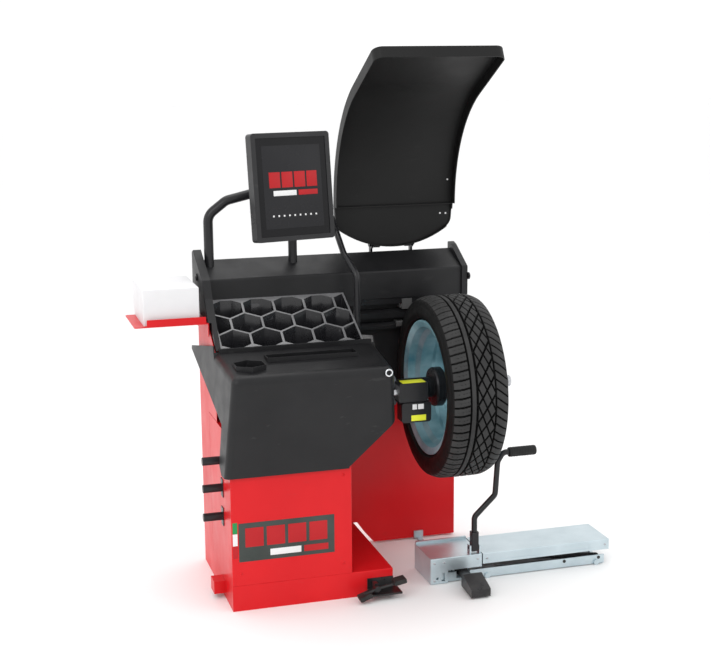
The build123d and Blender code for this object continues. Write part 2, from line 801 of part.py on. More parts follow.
rim_left = wheel_x - rim_width / 2
rim_right = wheel_x + rim_width / 2
spoke_count = 5
with BuildPart() as wheel_rim:
    with BuildSketch(turning_plane):
        face(
            (rim_left, rim_radius),
            (rim_left + 4, rim_radius),
            (rim_left + 12, bead_radius),
            (rim_left + 36, bead_radius - 4),
            (rim_left + 50, bead_radius - 20),
            (rim_left + 90, bead_radius - 20),
            (rim_left + 106, bead_radius - 4),
            (rim_right - 12, bead_radius),
            (rim_right - 4, rim_radius),
            (rim_right, rim_radius),
            (rim_right, rim_radius - 6),
            (rim_right - 8, bead_radius - 8),
            (rim_left + 110, bead_radius - 12),
            (rim_left + 92, bead_radius - 27),
            (rim_left + 48, bead_radius - 27),
            (rim_left + 34, bead_radius - 12),
            (rim_left + 8, bead_radius - 8),
            (rim_left, rim_radius - 6),
        )
    revolve(axis=spindle_axis)
    # the dished disc, then the windows between its spokes
    with BuildSketch(turning_plane):
        face(
            (disc_x, wheel_bore),
            (disc_x, 75),
            (disc_x + 12, 110),
            (disc_x + 16, bead_radius - 6),
            (disc_x + 32, bead_radius - 3),
            (disc_x + 32, 120),
            (disc_x + 26, 75),
            (disc_x + disc_thickness, 60),
            (disc_x + disc_thickness, wheel_bore),
        )
    revolve(axis=spindle_axis)
    for turn in range(spoke_count):
        middle = radians(90 + 360 / spoke_count * (turn + 0.5))
        window_plane = Plane(
            origin=at(disc_x - 10, spindle_y, spindle_z),
            x_dir=(0, cos(middle), sin(middle)),
            z_dir=(1, 0, 0),
        )
        with BuildSketch(window_plane) as window:
            face((98, -26), (198, -88), (202, 0), (198, 88), (98, 26))
            fillet(window.vertices(), 10)
        extrude(amount=60, mode=Mode.SUBTRACT)
    with BuildSketch(side_plane(disc_x - 5)):
        with Locations((spindle_y, spindle_z)):
            with PolarLocations(bolt_circle, 5, start_angle=90):
                Circle(7)
    extrude(amount=40, mode=Mode.SUBTRACT)
wheel_rim.part.label = "wheel_rim"
export_step(wheel_rim.part, "parts/wheel_rim.step")

tyre_left = wheel_x - tyre_width / 2
tyre_right = wheel_x + tyre_width / 2
with BuildPart() as tyre:
    with BuildSketch(turning_plane):
        with BuildLine():
            bead_in = (rim_left + 13, bead_radius + 0.5)
            shoulder_in = (wheel_x - tread_width / 2, tyre_radius - 9)
            crown_in = (wheel_x - tread_width / 2 + 26, tyre_radius - 1)
            crown_out = (wheel_x + tread_width / 2 - 26, tyre_radius - 1)
            shoulder_out = (wheel_x + tread_width / 2, tyre_radius - 9)
            bead_out = (rim_right - 13, bead_radius + 0.5)
            Line(bead_in, (rim_left + 6, rim_radius + 3))
            Spline((rim_left + 6, rim_radius + 3), (tyre_left, 268), shoulder_in)
            Line(shoulder_in, crown_in)
            ThreePointArc(crown_in, (wheel_x, tyre_radius), crown_out)
            Line(crown_out, shoulder_out)
            Spline(shoulder_out, (tyre_right, 268), (rim_right - 6, rim_radius + 3))
            Line((rim_right - 6, rim_radius + 3), bead_out)
            Line(bead_out, (rim_right - 30, bead_radius + 0.5))
            Spline(
                (rim_right - 30, bead_radius + 0.5),
                (tyre_right - 12, 268),
                (wheel_x, tyre_radius - 16),
                (tyre_left + 12, 268),
                (rim_left + 30, bead_radius + 0.5),
            )
            Line((rim_left + 30, bead_radius + 0.5), bead_in)
        make_face()
    revolve(axis=spindle_axis)
tyre.part.label = "tyre"
export_step(tyre.part, "parts/tyre.step")

with BuildPart() as drive_motor:
    rod_x((40, pulley_x - 12), motor_y, motor_z, 62)
    block((60, 160), (motor_y - 40, motor_y + 40), (motor_z + 50, cabinet_top - panel_sheet))
    rod_x((pulley_x - 40, pulley_x - 1), motor_y, motor_z, 30)
    rod_x((pulley_x - 40, pulley_x + 2), motor_y, motor_z, 10 + running_gap, Mode.SUBTRACT)
drive_motor.part.label = "drive_motor"
export_step(drive_motor.part, "parts/drive_motor.step")

with BuildPart() as motor_pulley:
    rod_x((pulley_x, pulley_x + pulley_width), motor_y, motor_z, motor_pulley_radius)
    rod_x((pulley_x - 34, pulley_x), motor_y, motor_z, 10)
motor_pulley.part.label = "motor_pulley"
export_step(motor_pulley.part, "parts/motor_pulley.step")

belt_clearance = 0.3
belt_thickness = 4.0
with BuildPart() as drive_belt:
    outer = belt_clearance + belt_thickness
    for grow, mode in ((outer, Mode.ADD), (belt_clearance, Mode.SUBTRACT)):
        with BuildSketch(side_plane(pulley_x + 1)):
            with Locations((spindle_y, spindle_z)):
                Circle(spindle_pulley_radius + grow)
            with Locations((motor_y, motor_z)):
                Circle(motor_pulley_radius + grow)
            make_hull()
        extrude(amount=pulley_width - 2, mode=mode)
drive_belt.part.label = "drive_belt"
export_step(drive_belt.part, "parts/drive_belt.step")

with BuildPart() as power_box:
    block((60, 340), (60, 200), (plinth_height, 250))
    fillet(power_box.edges().filter_by(Axis.Z), 4)
power_box.part.label = "power_box"
export_step(power_box.part, "parts/power_box.step")

# ==== Mains inlet and switch, on the back ===================================================
inlet_x = 330.0
inlet_z = 300.0
switch_z = 380.0
with BuildPart() as power_inlet:
    for half_width, half_height, depth in ((30, 24, 4), (16, 13, 14)):
        block(
            (inlet_x - half_width, inlet_x + half_width),
            (plinth_depth, plinth_depth + depth),
            (inlet_z - half_height, inlet_z + half_height),
        )
    block(
        (inlet_x - 12, inlet_x + 12),
        (plinth_depth + 2, plinth_depth + 15),
        (inlet_z - 9, inlet_z + 9),
        Mode.SUBTRACT,
    )
    for pin_x in (-7, 0, 7):
        block(
            (inlet_x + pin_x - 1, inlet_x + pin_x + 1),
            (plinth_depth + 1, plinth_depth + 12),
            (inlet_z - 3, inlet_z + 3),
        )
    # the switch's round base
    with Locations(Location(at(inlet_x, plinth_depth + 3, switch_z), (90, 0, 0))):
        Cylinder(30, 6)
power_inlet.part.label = "power_inlet"
export_step(power_inlet.part, "parts/power_inlet.step")

with BuildPart() as main_switch:
    with Locations(Location(at(inlet_x, plinth_depth + 6.3 + 4, switch_z), (90, 0, 0))):
        Cylinder(20, 8)
    block(
        (inlet_x - 6, inlet_x + 6),
        (plinth_depth + 12, plinth_depth + 26),
        (switch_z - 19, switch_z + 19),
    )
main_switch.part.label = "main_switch"
export_step(main_switch.part, "parts/main_switch.step")

# ==== Guard =================================================================================
bend_centre = (guard_back - guard_bend, guard_crease)
turn = radians(guard_turn)


def guard_point(radius, reach):
    """A point on the hood's section, at a radius of its bend and a reach beyond the bend."""
    across = bend_centre[0] + radius * cos(turn) - reach * sin(turn)
    return (across, bend_centre[1] + radius * sin(turn) + reach * cos(turn))


def hood_section(inner, outer, reach):
    """The closed section of the hood between two radii of its bend."""
    CenterArc(bend_centre, outer, 0, guard_turn)
    Line(guard_point(outer, 0), guard_point(outer, reach))
    Line(guard_point(outer, reach), guard_point(inner, reach))
    Line(guard_point(inner, reach), guard_point(inner, 0))
    CenterArc(bend_centre, inner, 0, guard_turn)
    Line((bend_centre[0] + inner, guard_crease), (bend_centre[0] + outer, guard_crease))


flange_radius = guard_bend + guard_sheet - guard_flange
lip_corner = 32.0  # outer radius of the corners at the hood's lip


def lip_corner_edges(builder):
    """The two short edges at the corners of the hood's lip."""
    straight_edges = builder.edges().filter_by(GeomType.LINE)
    return straight_edges.filter_by(Axis.X, reverse=True).group_by(Axis.Y)[0]


with BuildPart(mode=Mode.PRIVATE) as hood_hollow:
    with BuildSketch(side_plane(guard_left + guard_sheet)):
        with BuildLine():
            hood_section(flange_radius - 20, guard_bend, guard_reach - guard_sheet)
        make_face()
    extrude(amount=guard_right - guard_left - 2 * guard_sheet)
    fillet(lip_corner_edges(hood_hollow), lip_corner - guard_sheet)

with BuildPart() as guard_hood:
    with BuildSketch(side_plane(guard_left)):
        with BuildLine():
            hood_section(flange_radius, guard_bend + guard_sheet, guard_reach)
        make_face()
    extrude(amount=guard_right - guard_left)
    fillet(lip_corner_edges(guard_hood), lip_corner)
    add(hood_hollow.part, mode=Mode.SUBTRACT)
guard_hood.part.label = "guard_hood"
export_step(guard_hood.part, "parts/guard_hood.step")

flap_depth = 18.0
flap_corner_left = (guard_left + 6, 1194)
flap_corner_right = (guard_right - 6, 1198)
flap_lowest = (751, 1118)


def flap_outline():
    """The flap's outline seen from the front, with a bowed lower edge."""
    Line((guard_left, guard_crease), flap_corner_left)
    ThreePointArc(flap_corner_left, flap_lowest, flap_corner_right)
    Line(flap_corner_right, (guard_right, guard_crease))
    Line((guard_right, guard_crease), (guard_left, guard_crease))


flap_rear = guard_back + guard_sheet
with BuildPart() as guard_flap:
    with BuildSketch(front_plane(flap_rear)) as flap_sketch:
        with BuildLine():
            flap_outline()
        make_face()
        fillet(flap_sketch.vertices().group_by(Axis.Y)[:-1], 45)
    extrude(amount=flap_depth)
    with BuildSketch(front_plane(guard_back)) as flap_sketch:
        with BuildLine():
            flap_outline()
        make_face()
        fillet(flap_sketch.vertices().group_by(Axis.Y)[:-1], 45)
        offset(amount=-guard_sheet, mode=Mode.REPLACE)
    extrude(amount=flap_depth, mode=Mode.SUBTRACT)
    # the rim is left off where it would pass the right cheek
    block((956, guard_right + 1), (560, guard_back - 4), (1100, 1250), Mode.SUBTRACT)
guard_flap.part.label = "guard_flap"
export_step(guard_flap.part, "parts/guard_flap.step")

arm_places = (690.0, 810.0)
arm_size = 22.0
with BuildPart() as guard_frame:
    rod_x((662, 838), hinge_y, hinge_z, hinge_radius)
    for arm_x in arm_places:
        sides = (arm_x - arm_size / 2, arm_x + arm_size / 2)
        block(sides, (guard_back + 10, hinge_y + 14), (hinge_z - 14, 1430))
        block(sides, (guard_back + guard_sheet, guard_back + 12), (1180, 1240))
        with BuildSketch(side_plane(sides[0])):
            face((guard_back + 12, 1370), (guard_back + 12, 1426), (563, 1426), (578, 1370))
        extrude(amount=arm_size)
guard_frame.part.label = "guard_frame"
export_step(guard_frame.part, "parts/guard_frame.step")

with BuildPart() as guard_brackets:
    for bracket_x in (668.0, 824.0):
        with BuildSketch(side_plane(bracket_x)):
            with Locations((hinge_y, hinge_z)):
                Circle(19)
            # the upper part stands back, out of the way of the flap
            face(
                (beam_rear, 900),
                (hinge_y + 19, 900),
                (hinge_y + 19, hinge_z),
                (hinge_y - 2, hinge_z),
                (hinge_y - 2, 1085),
                (beam_rear, 1060),
            )
        extrude(amount=8)
    rod_x((655, 845), hinge_y, hinge_z, hinge_radius + running_gap, Mode.SUBTRACT)
guard_brackets.part.label = "guard_brackets"
export_step(guard_brackets.part, "parts/guard_brackets.step")

# ==== Distance gauge ========================================================================
with BuildPart() as gauge_rod:
    rod_x((420, 600), gauge_y, gauge_z, gauge_rod_radius)
gauge_rod.part.label = "gauge_rod"
export_step(gauge_rod.part, "parts/gauge_rod.step")

with BuildPart() as gauge_bush:
    rod_x((530, 556), gauge_y, gauge_z, gauge_rod_radius + 7)
    rod_x((520, 570), gauge_y, gauge_z, gauge_rod_radius + running_gap, Mode.SUBTRACT)
gauge_bush.part.label = "gauge_bush"
export_step(gauge_bush.part, "parts/gauge_bush.step")

with BuildPart() as gauge_arm:
    block((584, 684), (gauge_y - 28, gauge_y + 28), (gauge_z - 34, gauge_z + 34))
    fillet(gauge_arm.edges().filter_by(Axis.X), 8)
    fillet(gauge_arm.faces().sort_by(Axis.X)[-1].edges(), 3)
    rod_x((580, 640), gauge_y, gauge_z, gauge_rod_radius + running_gap, Mode.SUBTRACT)
gauge_arm.part.label = "gauge_arm"
export_step(gauge_arm.part, "parts/gauge_arm.step")

with BuildPart() as gauge_head:
    block((592, 698), (gauge_y - 25, gauge_y + 25), (gauge_z - 104, gauge_z - 34))
    fillet(gauge_head.edges().filter_by(Axis.Y), 10)
    fillet(gauge_head.faces().sort_by(Axis.Y)[0].edges(), 3)
gauge_head.part.label = "gauge_head"
export_step(gauge_head.part, "parts/gauge_head.step")

# ==== Brake pedal ===========================================================================
rocker_y = -60.0
with BuildPart() as pedal_bracket:
    block((466, 572), (-66, 0), (20, 26))
    block((466, 558), (-3, 0), (20, 62))
    block((pedal_x - 7, pedal_x + 7), (-50, -24), (26, 60))
    with Locations(Location(at(pedal_x, -38, pedal_z), (90, 0, 0))):
        Cylinder(pedal_pin_radius + running_gap, 60, mode=Mode.SUBTRACT)
pedal_bracket.part.label = "pedal_bracket"
export_step(pedal_bracket.part, "parts/pedal_bracket.step")

with BuildPart() as pedal_lever:
    with BuildLine() as route:
        FilletPolyline(
            at(438, rocker_y, 30),
            at(pedal_x, rocker_y, pedal_z),
            at(566, rocker_y, 60),
            radius=20,
        )
    with BuildSketch(Plane(origin=route.line @ 0, z_dir=route.line % 0)):
        Circle(5)
    sweep(path=route.line)
    with Locations(Location(at(pedal_x, (rocker_y - 22) / 2, pedal_z), (90, 0, 0))):
        Cylinder(pedal_pin_radius, -22 - rocker_y)
    with Locations(Location(at(pedal_x, rocker_y, pedal_z), (90, 0, 0))):
        Cylinder(10, 14)
pedal_lever.part.label = "pedal_lever"
export_step(pedal_lever.part, "parts/pedal_lever.step")

with BuildPart() as pedal_pads:
    for pad_x, pad_z, tilt in ((440, 24, -19), (562, 66, -10)):
        with Locations(Location(at(pad_x, rocker_y, pad_z), (0, tilt, 0))):
            Box(44, 38, 16)
    fillet(pedal_pads.edges().filter_by(Axis.Y), 4)
    with BuildLine() as route:
        FilletPolyline(
            at(438, rocker_y, 30),
            at(pedal_x, rocker_y, pedal_z),
            at(566, rocker_y, 60),
            radius=20,
        )
    with BuildSketch(Plane(origin=route.line @ 0, z_dir=route.line % 0)):
        Circle(5)
    sweep(path=route.line, mode=Mode.SUBTRACT)
pedal_pads.part.label = "pedal_pads"
export_step(pedal_pads.part, "parts/pedal_pads.step")

# ==== Wheel lift ============================================================================
apron_step = 768.0  # the front apron is cut up to the right of this, for the foot pedal
apron_gap = 48.0
with BuildPart() as lift_housing:
    block((lift_left, lift_joint), (lift_front, lift_rear), (2, lift_top))
    fillet(lift_housing.edges().filter_by(Axis.X).group_by(Axis.Z)[-1], 3)
    block(
        (lift_left + lift_sheet, lift_joint + 1),
        (lift_front + lift_sheet, lift_rear - lift_sheet),
        (0, lift_top - lift_sheet),
        Mode.SUBTRACT,
    )
    apron = (lift_front - 1, lift_front + lift_sheet + 1)
    block((apron_step, lift_joint + 1), apron, (0, apron_gap), Mode.SUBTRACT)
    block((744, 756), apron, (10, 40), Mode.SUBTRACT)
    with BuildSketch(front_plane(lift_front + lift_sheet + 1)):
        with Locations((728, 22)):
            Circle(5)
    extrude(amount=8, mode=Mode.SUBTRACT)
    # ears for the handle's pin
    for ear_x in (handle_x - 21, handle_x + 15):
        block((ear_x, ear_x + 6), (handle_y - 12, handle_y + 12), (lift_top - 1, handle_z + 10))
    rod_x((handle_x - 30, handle_x + 30), handle_y, handle_z, lift_pin + running_gap, Mode.SUBTRACT)
    # the rear guide rail on top
    block((lift_left, lift_joint), (lift_rear - 14, lift_rear - 4), (lift_top - 1, lift_top + 9))
lift_housing.part.label = "lift_housing"
export_step(lift_housing.part, "parts/lift_housing.step")

with BuildPart() as lift_bracket:
    block((796, 832), (lift_rear, lift_rear + 6), (4, 60))
    block((806, 822), (lift_rear, rear_panel_front), (4, 10))
    block((796, 832), (rear_panel_front - 6, rear_panel_front), (4, 34))
lift_bracket.part.label = "lift_bracket"
export_step(lift_bracket.part, "parts/lift_bracket.step")

arm_slope = radians(lift_arm_rest)
pivot_shift = lift_arm_length * cos(arm_slope)
top_pivot_z = lift_pivot_z + lift_arm_length * sin(arm_slope)
with BuildPart() as lift_floor_frame:
    for plate, flange in (((28, 32), (28, 60)), ((181, 185), (153, 185))):
        block((708, 1372), plate, (4, 36))
        block((708, 1372), flange, (4, 7))
    for cross in ((708, 740), (1362, 1372)):
        block(cross, (28, 185), (4, 12))
    for pivot in (lift_pivot_near, lift_pivot_far):
        with Locations(Location(at(pivot, (lift_front + lift_rear) / 2, lift_pivot_z), (90, 0, 0))):
            Cylinder(lift_pin + running_gap, 200, mode=Mode.SUBTRACT)
    # a notch and two ears for the foot pedal
    block((802, 852), (20, 40), (12, 40), Mode.SUBTRACT)
    for ear_x in (796, 852):
        block((ear_x, ear_x + 6), (50, 72), (4, 42))
        block((ear_x, ear_x + 6), (28, 72), (4, 7))
    rod_x((790, 864), *foot_pedal_pin, pedal_pin_radius + running_gap, Mode.SUBTRACT)
    # rollers outside the side plates
    for roller_x in (918, 1340):
        for roller_y in (24.5, 188.5):
            with Locations(Location(at(roller_x, roller_y, 10), (90, 0, 0))):
                Cylinder(10, 7)
    # foot pads
    for foot_x in (724, 900, 1366):
        for foot_y in (40, 173):
            with Locations(at(foot_x, foot_y, 2)):
                Cylinder(6, 4)
lift_floor_frame.part.label = "lift_floor_frame"
export_step(lift_floor_frame.part, "parts/lift_floor_frame.step")


# Two bars side by side, with a pin at each end of both. Spans are distances from the front.
arm_layouts = {
    "lift_arms_near": (
        lift_pivot_near,
        (((34, 40), (27, 40), (34, 47)), ((173, 179), (173, 186), (166, 179))),
    ),
    "lift_arms_far": (
        lift_pivot_far,
        (((48, 54), (27, 54), (48, 62)), ((159, 165), (159, 186), (151, 165))),
    ),
}
for arm_name, (pivot, arms) in arm_layouts.items():
    with BuildPart() as lift_arms:
        for bar_span, base_pin, top_pin in arms:
            bar_plane = Plane(
                origin=at(pivot - pivot_shift / 2, bar_span[1], (lift_pivot_z + top_pivot_z) / 2),
                x_dir=(-cos(arm_slope), 0, sin(arm_slope)),
                z_dir=(0, -1, 0),
            )
            with BuildSketch(bar_plane):
                SlotCenterToCenter(lift_arm_length, 19)
            extrude(amount=bar_span[1] - bar_span[0])
            for x, z, span in (
                (pivot, lift_pivot_z, base_pin),
                (pivot - pivot_shift, top_pivot_z, top_pin),
            ):
                with Locations(Location(at(x, sum(span) / 2, z), (90, 0, 0))):
                    Cylinder(lift_pin, span[1] - span[0])
    lift_arms.part.label = arm_name
    export_step(lift_arms.part, f"parts/{arm_name}.step")

platform_left = lift_joint + 4
with BuildPart() as lift_platform:
    block((platform_left, lift_right), (lift_front, lift_rear), (57, lift_top))
    fillet(lift_platform.edges().filter_by(Axis.X).group_by(Axis.Z)[-1], 3)
    block(
        (platform_left - 1, lift_right - lift_sheet),
        (lift_front + lift_sheet, lift_rear - lift_sheet),
        (50, lift_top - lift_sheet),
        Mode.SUBTRACT,
    )
    block((920, 1308), (lift_front - 1, lift_front + 1), (66, 84), Mode.SUBTRACT)
    # ears under the top carry the arms' upper pins
    for pivot, ears in (
        (lift_pivot_near, ((42, 45), (168, 171))),
        (lift_pivot_far, ((56, 59), (154, 157))),
    ):
        x = pivot - pivot_shift
        for ear in ears:
            block((x - 11, x + 11), ear, (top_pivot_z - 9, lift_top - 1))
        with Locations(Location(at(x, (lift_front + lift_rear) / 2, top_pivot_z), (90, 0, 0))):
            Cylinder(lift_pin + running_gap, 160, mode=Mode.SUBTRACT)
lift_platform.part.label = "lift_platform"
export_step(lift_platform.part, "parts/lift_platform.step")

handle_tube_radius = 10.0
with BuildPart() as lift_handle:
    rod_x((handle_x - 22, handle_x + 22), handle_y, handle_z, lift_pin)
    block((handle_x - 13, handle_x + 13), (handle_y - 13, handle_y + 13), (handle_z - 12, 172))
    fillet(lift_handle.edges().filter_by(Axis.Z), 3)
    with BuildLine() as route:
        FilletPolyline(
            at(handle_x, handle_y, 165),
            at(handle_x, handle_y, 226),
            at(950, handle_y, 300),
            at(958, handle_y, 420),
            at(978, handle_y, 452),
            at(1092, handle_y, 450),
            radius=24,
        )
    with BuildSketch(Plane(origin=route.line @ 0, z_dir=route.line % 0)):
        Circle(handle_tube_radius)
    sweep(path=route.line)
lift_handle.part.label = "lift_handle"
export_step(lift_handle.part, "parts/lift_handle.step")

with BuildPart() as lift_grip:
    rod_x((998, 1100), handle_y, 450.5, 17)
    fillet(lift_grip.edges().filter_by(GeomType.CIRCLE), 4)
    rod_x((990, 1094), handle_y, 450.5, handle_tube_radius + 1.2, Mode.SUBTRACT)
lift_grip.part.label = "lift_grip"
export_step(lift_grip.part, "parts/lift_grip.step")

with BuildPart() as lift_pedal:
    with BuildSketch(side_plane(792)):
        face((-146, 5), (-146, 34), (-60, 60), (-48, 56), (-48, 14))
    extrude(amount=70)
    fillet(lift_pedal.edges().filter_by(Axis.X), 3)
    with BuildSketch(side_plane(812)):
        face((-60, 20), (-60, 40), (60, 40), (60, 20))
    extrude(amount=30)
    rod_x((804, 850), *foot_pedal_pin, 10)
    rod_x((796, 858), *foot_pedal_pin, pedal_pin_radius)
lift_pedal.part.label = "lift_pedal"
export_step(lift_pedal.part, "parts/lift_pedal.step")
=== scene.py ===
"""The looks of the wheel balancer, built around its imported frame. Metres, +Z up."""

import json
from math import cos, pi, radians, sin

import bmesh
import bpy
import numpy as np
from mathutils import Matrix, Vector


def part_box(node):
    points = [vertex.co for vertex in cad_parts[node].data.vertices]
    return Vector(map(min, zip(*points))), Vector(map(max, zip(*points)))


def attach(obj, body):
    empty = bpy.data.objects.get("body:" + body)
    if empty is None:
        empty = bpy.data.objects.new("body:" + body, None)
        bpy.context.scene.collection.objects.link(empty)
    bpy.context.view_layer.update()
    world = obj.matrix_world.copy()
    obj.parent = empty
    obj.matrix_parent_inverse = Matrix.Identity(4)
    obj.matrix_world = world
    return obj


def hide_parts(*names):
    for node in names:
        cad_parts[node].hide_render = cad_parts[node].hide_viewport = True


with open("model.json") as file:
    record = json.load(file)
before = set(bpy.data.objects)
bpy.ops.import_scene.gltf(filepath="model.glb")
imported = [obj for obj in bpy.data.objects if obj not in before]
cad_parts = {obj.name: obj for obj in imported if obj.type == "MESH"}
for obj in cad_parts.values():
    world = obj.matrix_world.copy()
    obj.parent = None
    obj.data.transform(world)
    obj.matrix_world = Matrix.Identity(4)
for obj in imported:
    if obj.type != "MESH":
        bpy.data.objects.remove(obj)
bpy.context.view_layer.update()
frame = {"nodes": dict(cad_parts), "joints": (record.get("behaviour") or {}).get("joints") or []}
MM = 0.001


def corners(node):
    """A node's lowest and highest corners at rest."""
    low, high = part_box(node)
    return Vector(low), Vector(high)


# ==== Materials =============================================================================
def add_node(material, kind, **values):
    """A new node in a material's tree, with its settings or its inputs filled in."""
    made = material.node_tree.nodes.new(kind)
    for key, value in values.items():
        if hasattr(made, key):
            setattr(made, key, value)
        else:
            made.inputs[key.replace("_", " ")].default_value = value
    return made


def join(material, source, target):
    """Link one socket to another."""
    material.node_tree.links.new(source, target)


def noise(material, scale, detail=4.0, stretch=(1, 1, 1)):
    """The value of a noise over the piece, stretched along its axes."""
    place = add_node(material, "ShaderNodeTexCoord")
    mapping = add_node(material, "ShaderNodeMapping", Scale=stretch)
    texture = add_node(material, "ShaderNodeTexNoise", Scale=scale, Detail=detail)
    join(material, place.outputs["Object"], mapping.inputs["Vector"])
    join(material, mapping.outputs["Vector"], texture.inputs["Vector"])
    return texture.outputs["Fac"]


def remap(material, value, start, end, low, high):
    """A value moved from one range to another."""
    ranged = add_node(material, "ShaderNodeMapRange")
    ends = {"From Min": start, "From Max": end, "To Min": low, "To Max": high}
    for socket, number in ends.items():
        ranged.inputs[socket].default_value = number
    join(material, value, ranged.inputs["Value"])
    return ranged.outputs["Result"]


# the colour sockets of a mix node, which share their names with its other sockets
MIX_FIRST, MIX_SECOND, MIX_RESULT = 6, 7, 2


def blend_colours(material, amount, first, second):
    """A mix of two colours, each a triple or a socket."""
    mix = add_node(material, "ShaderNodeMix", data_type="RGBA")
    join(material, amount, mix.inputs["Factor"])
    for socket, colour in ((mix.inputs[MIX_FIRST], first), (mix.inputs[MIX_SECOND], second)):
        if isinstance(colour, tuple):
            socket.default_value = (*colour, 1)
        else:
            join(material, colour, socket)
    return mix.outputs[MIX_RESULT]


def tint(material, amount, colour):
    """Mix a colour over what a material shows already."""
    base = material.node_tree.nodes["Principled BSDF"].inputs["Base Color"]
    plain = base.links[0].from_socket
    join(material, blend_colours(material, amount, plain, colour), base)


NOISE_LOW, NOISE_HIGH = 0.3, 0.7  # most of a noise's values lie between these
SCRATCH_START, SCRATCH_FULL = 0.66, 0.70  # only a noise's peaks are scratches
DUST_COLOUR = (0.35, 0.32, 0.29)
DUST_TOP = 0.12  # the height above the floor where dust ends
DUST_START, DUST_FULL = 0.35, 0.75
COAT_ROUGHNESS = 0.12


def scratched(material, colour, amount, worn):
    """Fine scratches that show the worn colour."""
    lines = noise(material, scale=14.0, detail=8.0, stretch=(1.0, 9.0, 3.0))
    marks = remap(material, lines, SCRATCH_START, SCRATCH_FULL, 0.0, amount)
    return blend_colours(material, marks, colour, worn)


def dusted(material, colour, amount):
    """Spots of dust, fainter the higher they are."""
    place = add_node(material, "ShaderNodeTexCoord")
    split = add_node(material, "ShaderNodeSeparateXYZ")
    join(material, place.outputs["Object"], split.inputs["Vector"])
    low = remap(material, split.outputs["Z"], 0.0, DUST_TOP, amount, 0.0)
    cloud = noise(material, scale=30.0, detail=8.0)
    spots = remap(material, cloud, DUST_START, DUST_FULL, 0.0, 1.0)
    product = add_node(material, "ShaderNodeMath", operation="MULTIPLY")
    join(material, low, product.inputs[0])
    join(material, spots, product.inputs[1])
    return blend_colours(material, product.outputs["Value"], colour, DUST_COLOUR)


def new_material(name):
    """A new material and its shader."""
    material = bpy.data.materials.new(name)
    material.use_nodes = True
    return material, material.node_tree.nodes["Principled BSDF"]


def finish(
    name,
    dark,
    light,
    rough=(0.4, 0.5),
    metallic=0.0,
    patch=5.0,
    grain=1200.0,
    depth=0.00003,
    coat=0.0,
    stretch=(1, 1, 1),
    wear=0.0,
    worn=(0.3, 0.3, 0.3),
    dust=0.0,
    specular=0.3,
):
    """A painted, moulded or plated surface: two tones, uneven gloss, grain, scratches, dust."""
    material, shader = new_material(name)
    shader.inputs["Metallic"].default_value = metallic
    shader.inputs["Coat Weight"].default_value = coat
    shader.inputs["Coat Roughness"].default_value = COAT_ROUGHNESS
    shader.inputs["Specular IOR Level"].default_value = specular
    clouds = noise(material, patch, 5.0, stretch)
    tones = remap(material, clouds, NOISE_LOW, NOISE_HIGH, 0.0, 1.0)
    colour = blend_colours(material, tones, dark, light)
    if wear:
        colour = scratched(material, colour, wear, worn)
    if dust:
        colour = dusted(material, colour, dust)
    join(material, colour, shader.inputs["Base Color"])
    smears = noise(material, patch * 3, 6.0, stretch)
    gloss = remap(material, smears, NOISE_LOW, NOISE_HIGH, rough[0], rough[1])
    join(material, gloss, shader.inputs["Roughness"])
    bump = add_node(material, "ShaderNodeBump", Distance=depth, Strength=1.0)
    join(material, noise(material, grain, 3.0, stretch), bump.inputs["Height"])
    join(material, bump.outputs["Normal"], shader.inputs["Normal"])
    return material


FACING_START, FACING_FULL = 0.985, 0.997  # cosines of the angle from the direction


def paint_highlight_facing(material, direction, colour):
    """Paint a highlight on the faces that look one way, such as the top faces of the weight tray's
    rims.
    """
    place = add_node(material, "ShaderNodeTexCoord")
    product = add_node(material, "ShaderNodeVectorMath", operation="DOT_PRODUCT")
    product.inputs[1].default_value = Vector(direction).normalized()
    join(material, place.outputs["Normal"], product.inputs[0])
    facing = product.outputs["Value"]
    amount = remap(material, facing, FACING_START, FACING_FULL, 0.0, 1.0)
    tint(material, amount, colour)


CRYSTAL_SCALE = 110.0
CRYSTAL_STRENGTH = 0.2


def spangle(name, dark, light):
    """Zinc plating, with faint crystals."""
    material = finish(
        name, dark, light, rough=(0.30, 0.36), metallic=0.8, patch=9, depth=0.000003,
    )
    place = add_node(material, "ShaderNodeTexCoord")
    cells = add_node(material, "ShaderNodeTexVoronoi", Scale=CRYSTAL_SCALE)
    join(material, place.outputs["Object"], cells.inputs["Vector"])
    grey = add_node(material, "ShaderNodeRGBToBW")
    join(material, cells.outputs["Color"], grey.inputs["Color"])
    shade = remap(material, grey.outputs["Val"], 0.0, 1.0, 0.0, CRYSTAL_STRENGTH)
    tint(material, shade, light)
    return material


def ink(name, dark, light, rough=(0.35, 0.45)):
    """A printed mark or a thin plate, almost without grain."""
    return finish(name, dark, light, rough=rough, depth=0.00001)


# two tones each, in linear colours
red_paint = finish(
    "red_paint", (0.58, 0.006, 0.010), (0.68, 0.010, 0.014), rough=(0.30, 0.40), coat=0.06,
    patch=3, grain=420, depth=0.00004, wear=0.12, worn=(0.42, 0.03, 0.03), specular=0.22,
)
cover_plastic = finish(
    "cover_plastic", (0.007, 0.007, 0.008), (0.012, 0.012, 0.013), rough=(0.34, 0.46),
    grain=1500, depth=0.0001, wear=0.25, worn=(0.05, 0.05, 0.05),
)
shelf_plastic = finish(
    "shelf_plastic", (0.007, 0.007, 0.008), (0.013, 0.013, 0.014), rough=(0.36, 0.5),
    grain=1500, depth=0.0001, wear=0.15, worn=(0.04, 0.04, 0.04),
)
tray_plastic = finish(
    "tray_plastic", (0.010, 0.010, 0.012), (0.018, 0.018, 0.020), rough=(0.2, 0.34),
    grain=1300, depth=0.00005, coat=0.25, wear=0.4, worn=(0.08, 0.08, 0.085), specular=0.5,
)
TRAY_RISE = 0.673  # how much the weight tray's top rises for 1 to the rear
# painted highlight: a light grey on the top faces of the tray's pocket rims, which look up and to
# the front
paint_highlight_facing(tray_plastic, (0, -TRAY_RISE, 1), (0.16, 0.16, 0.165))
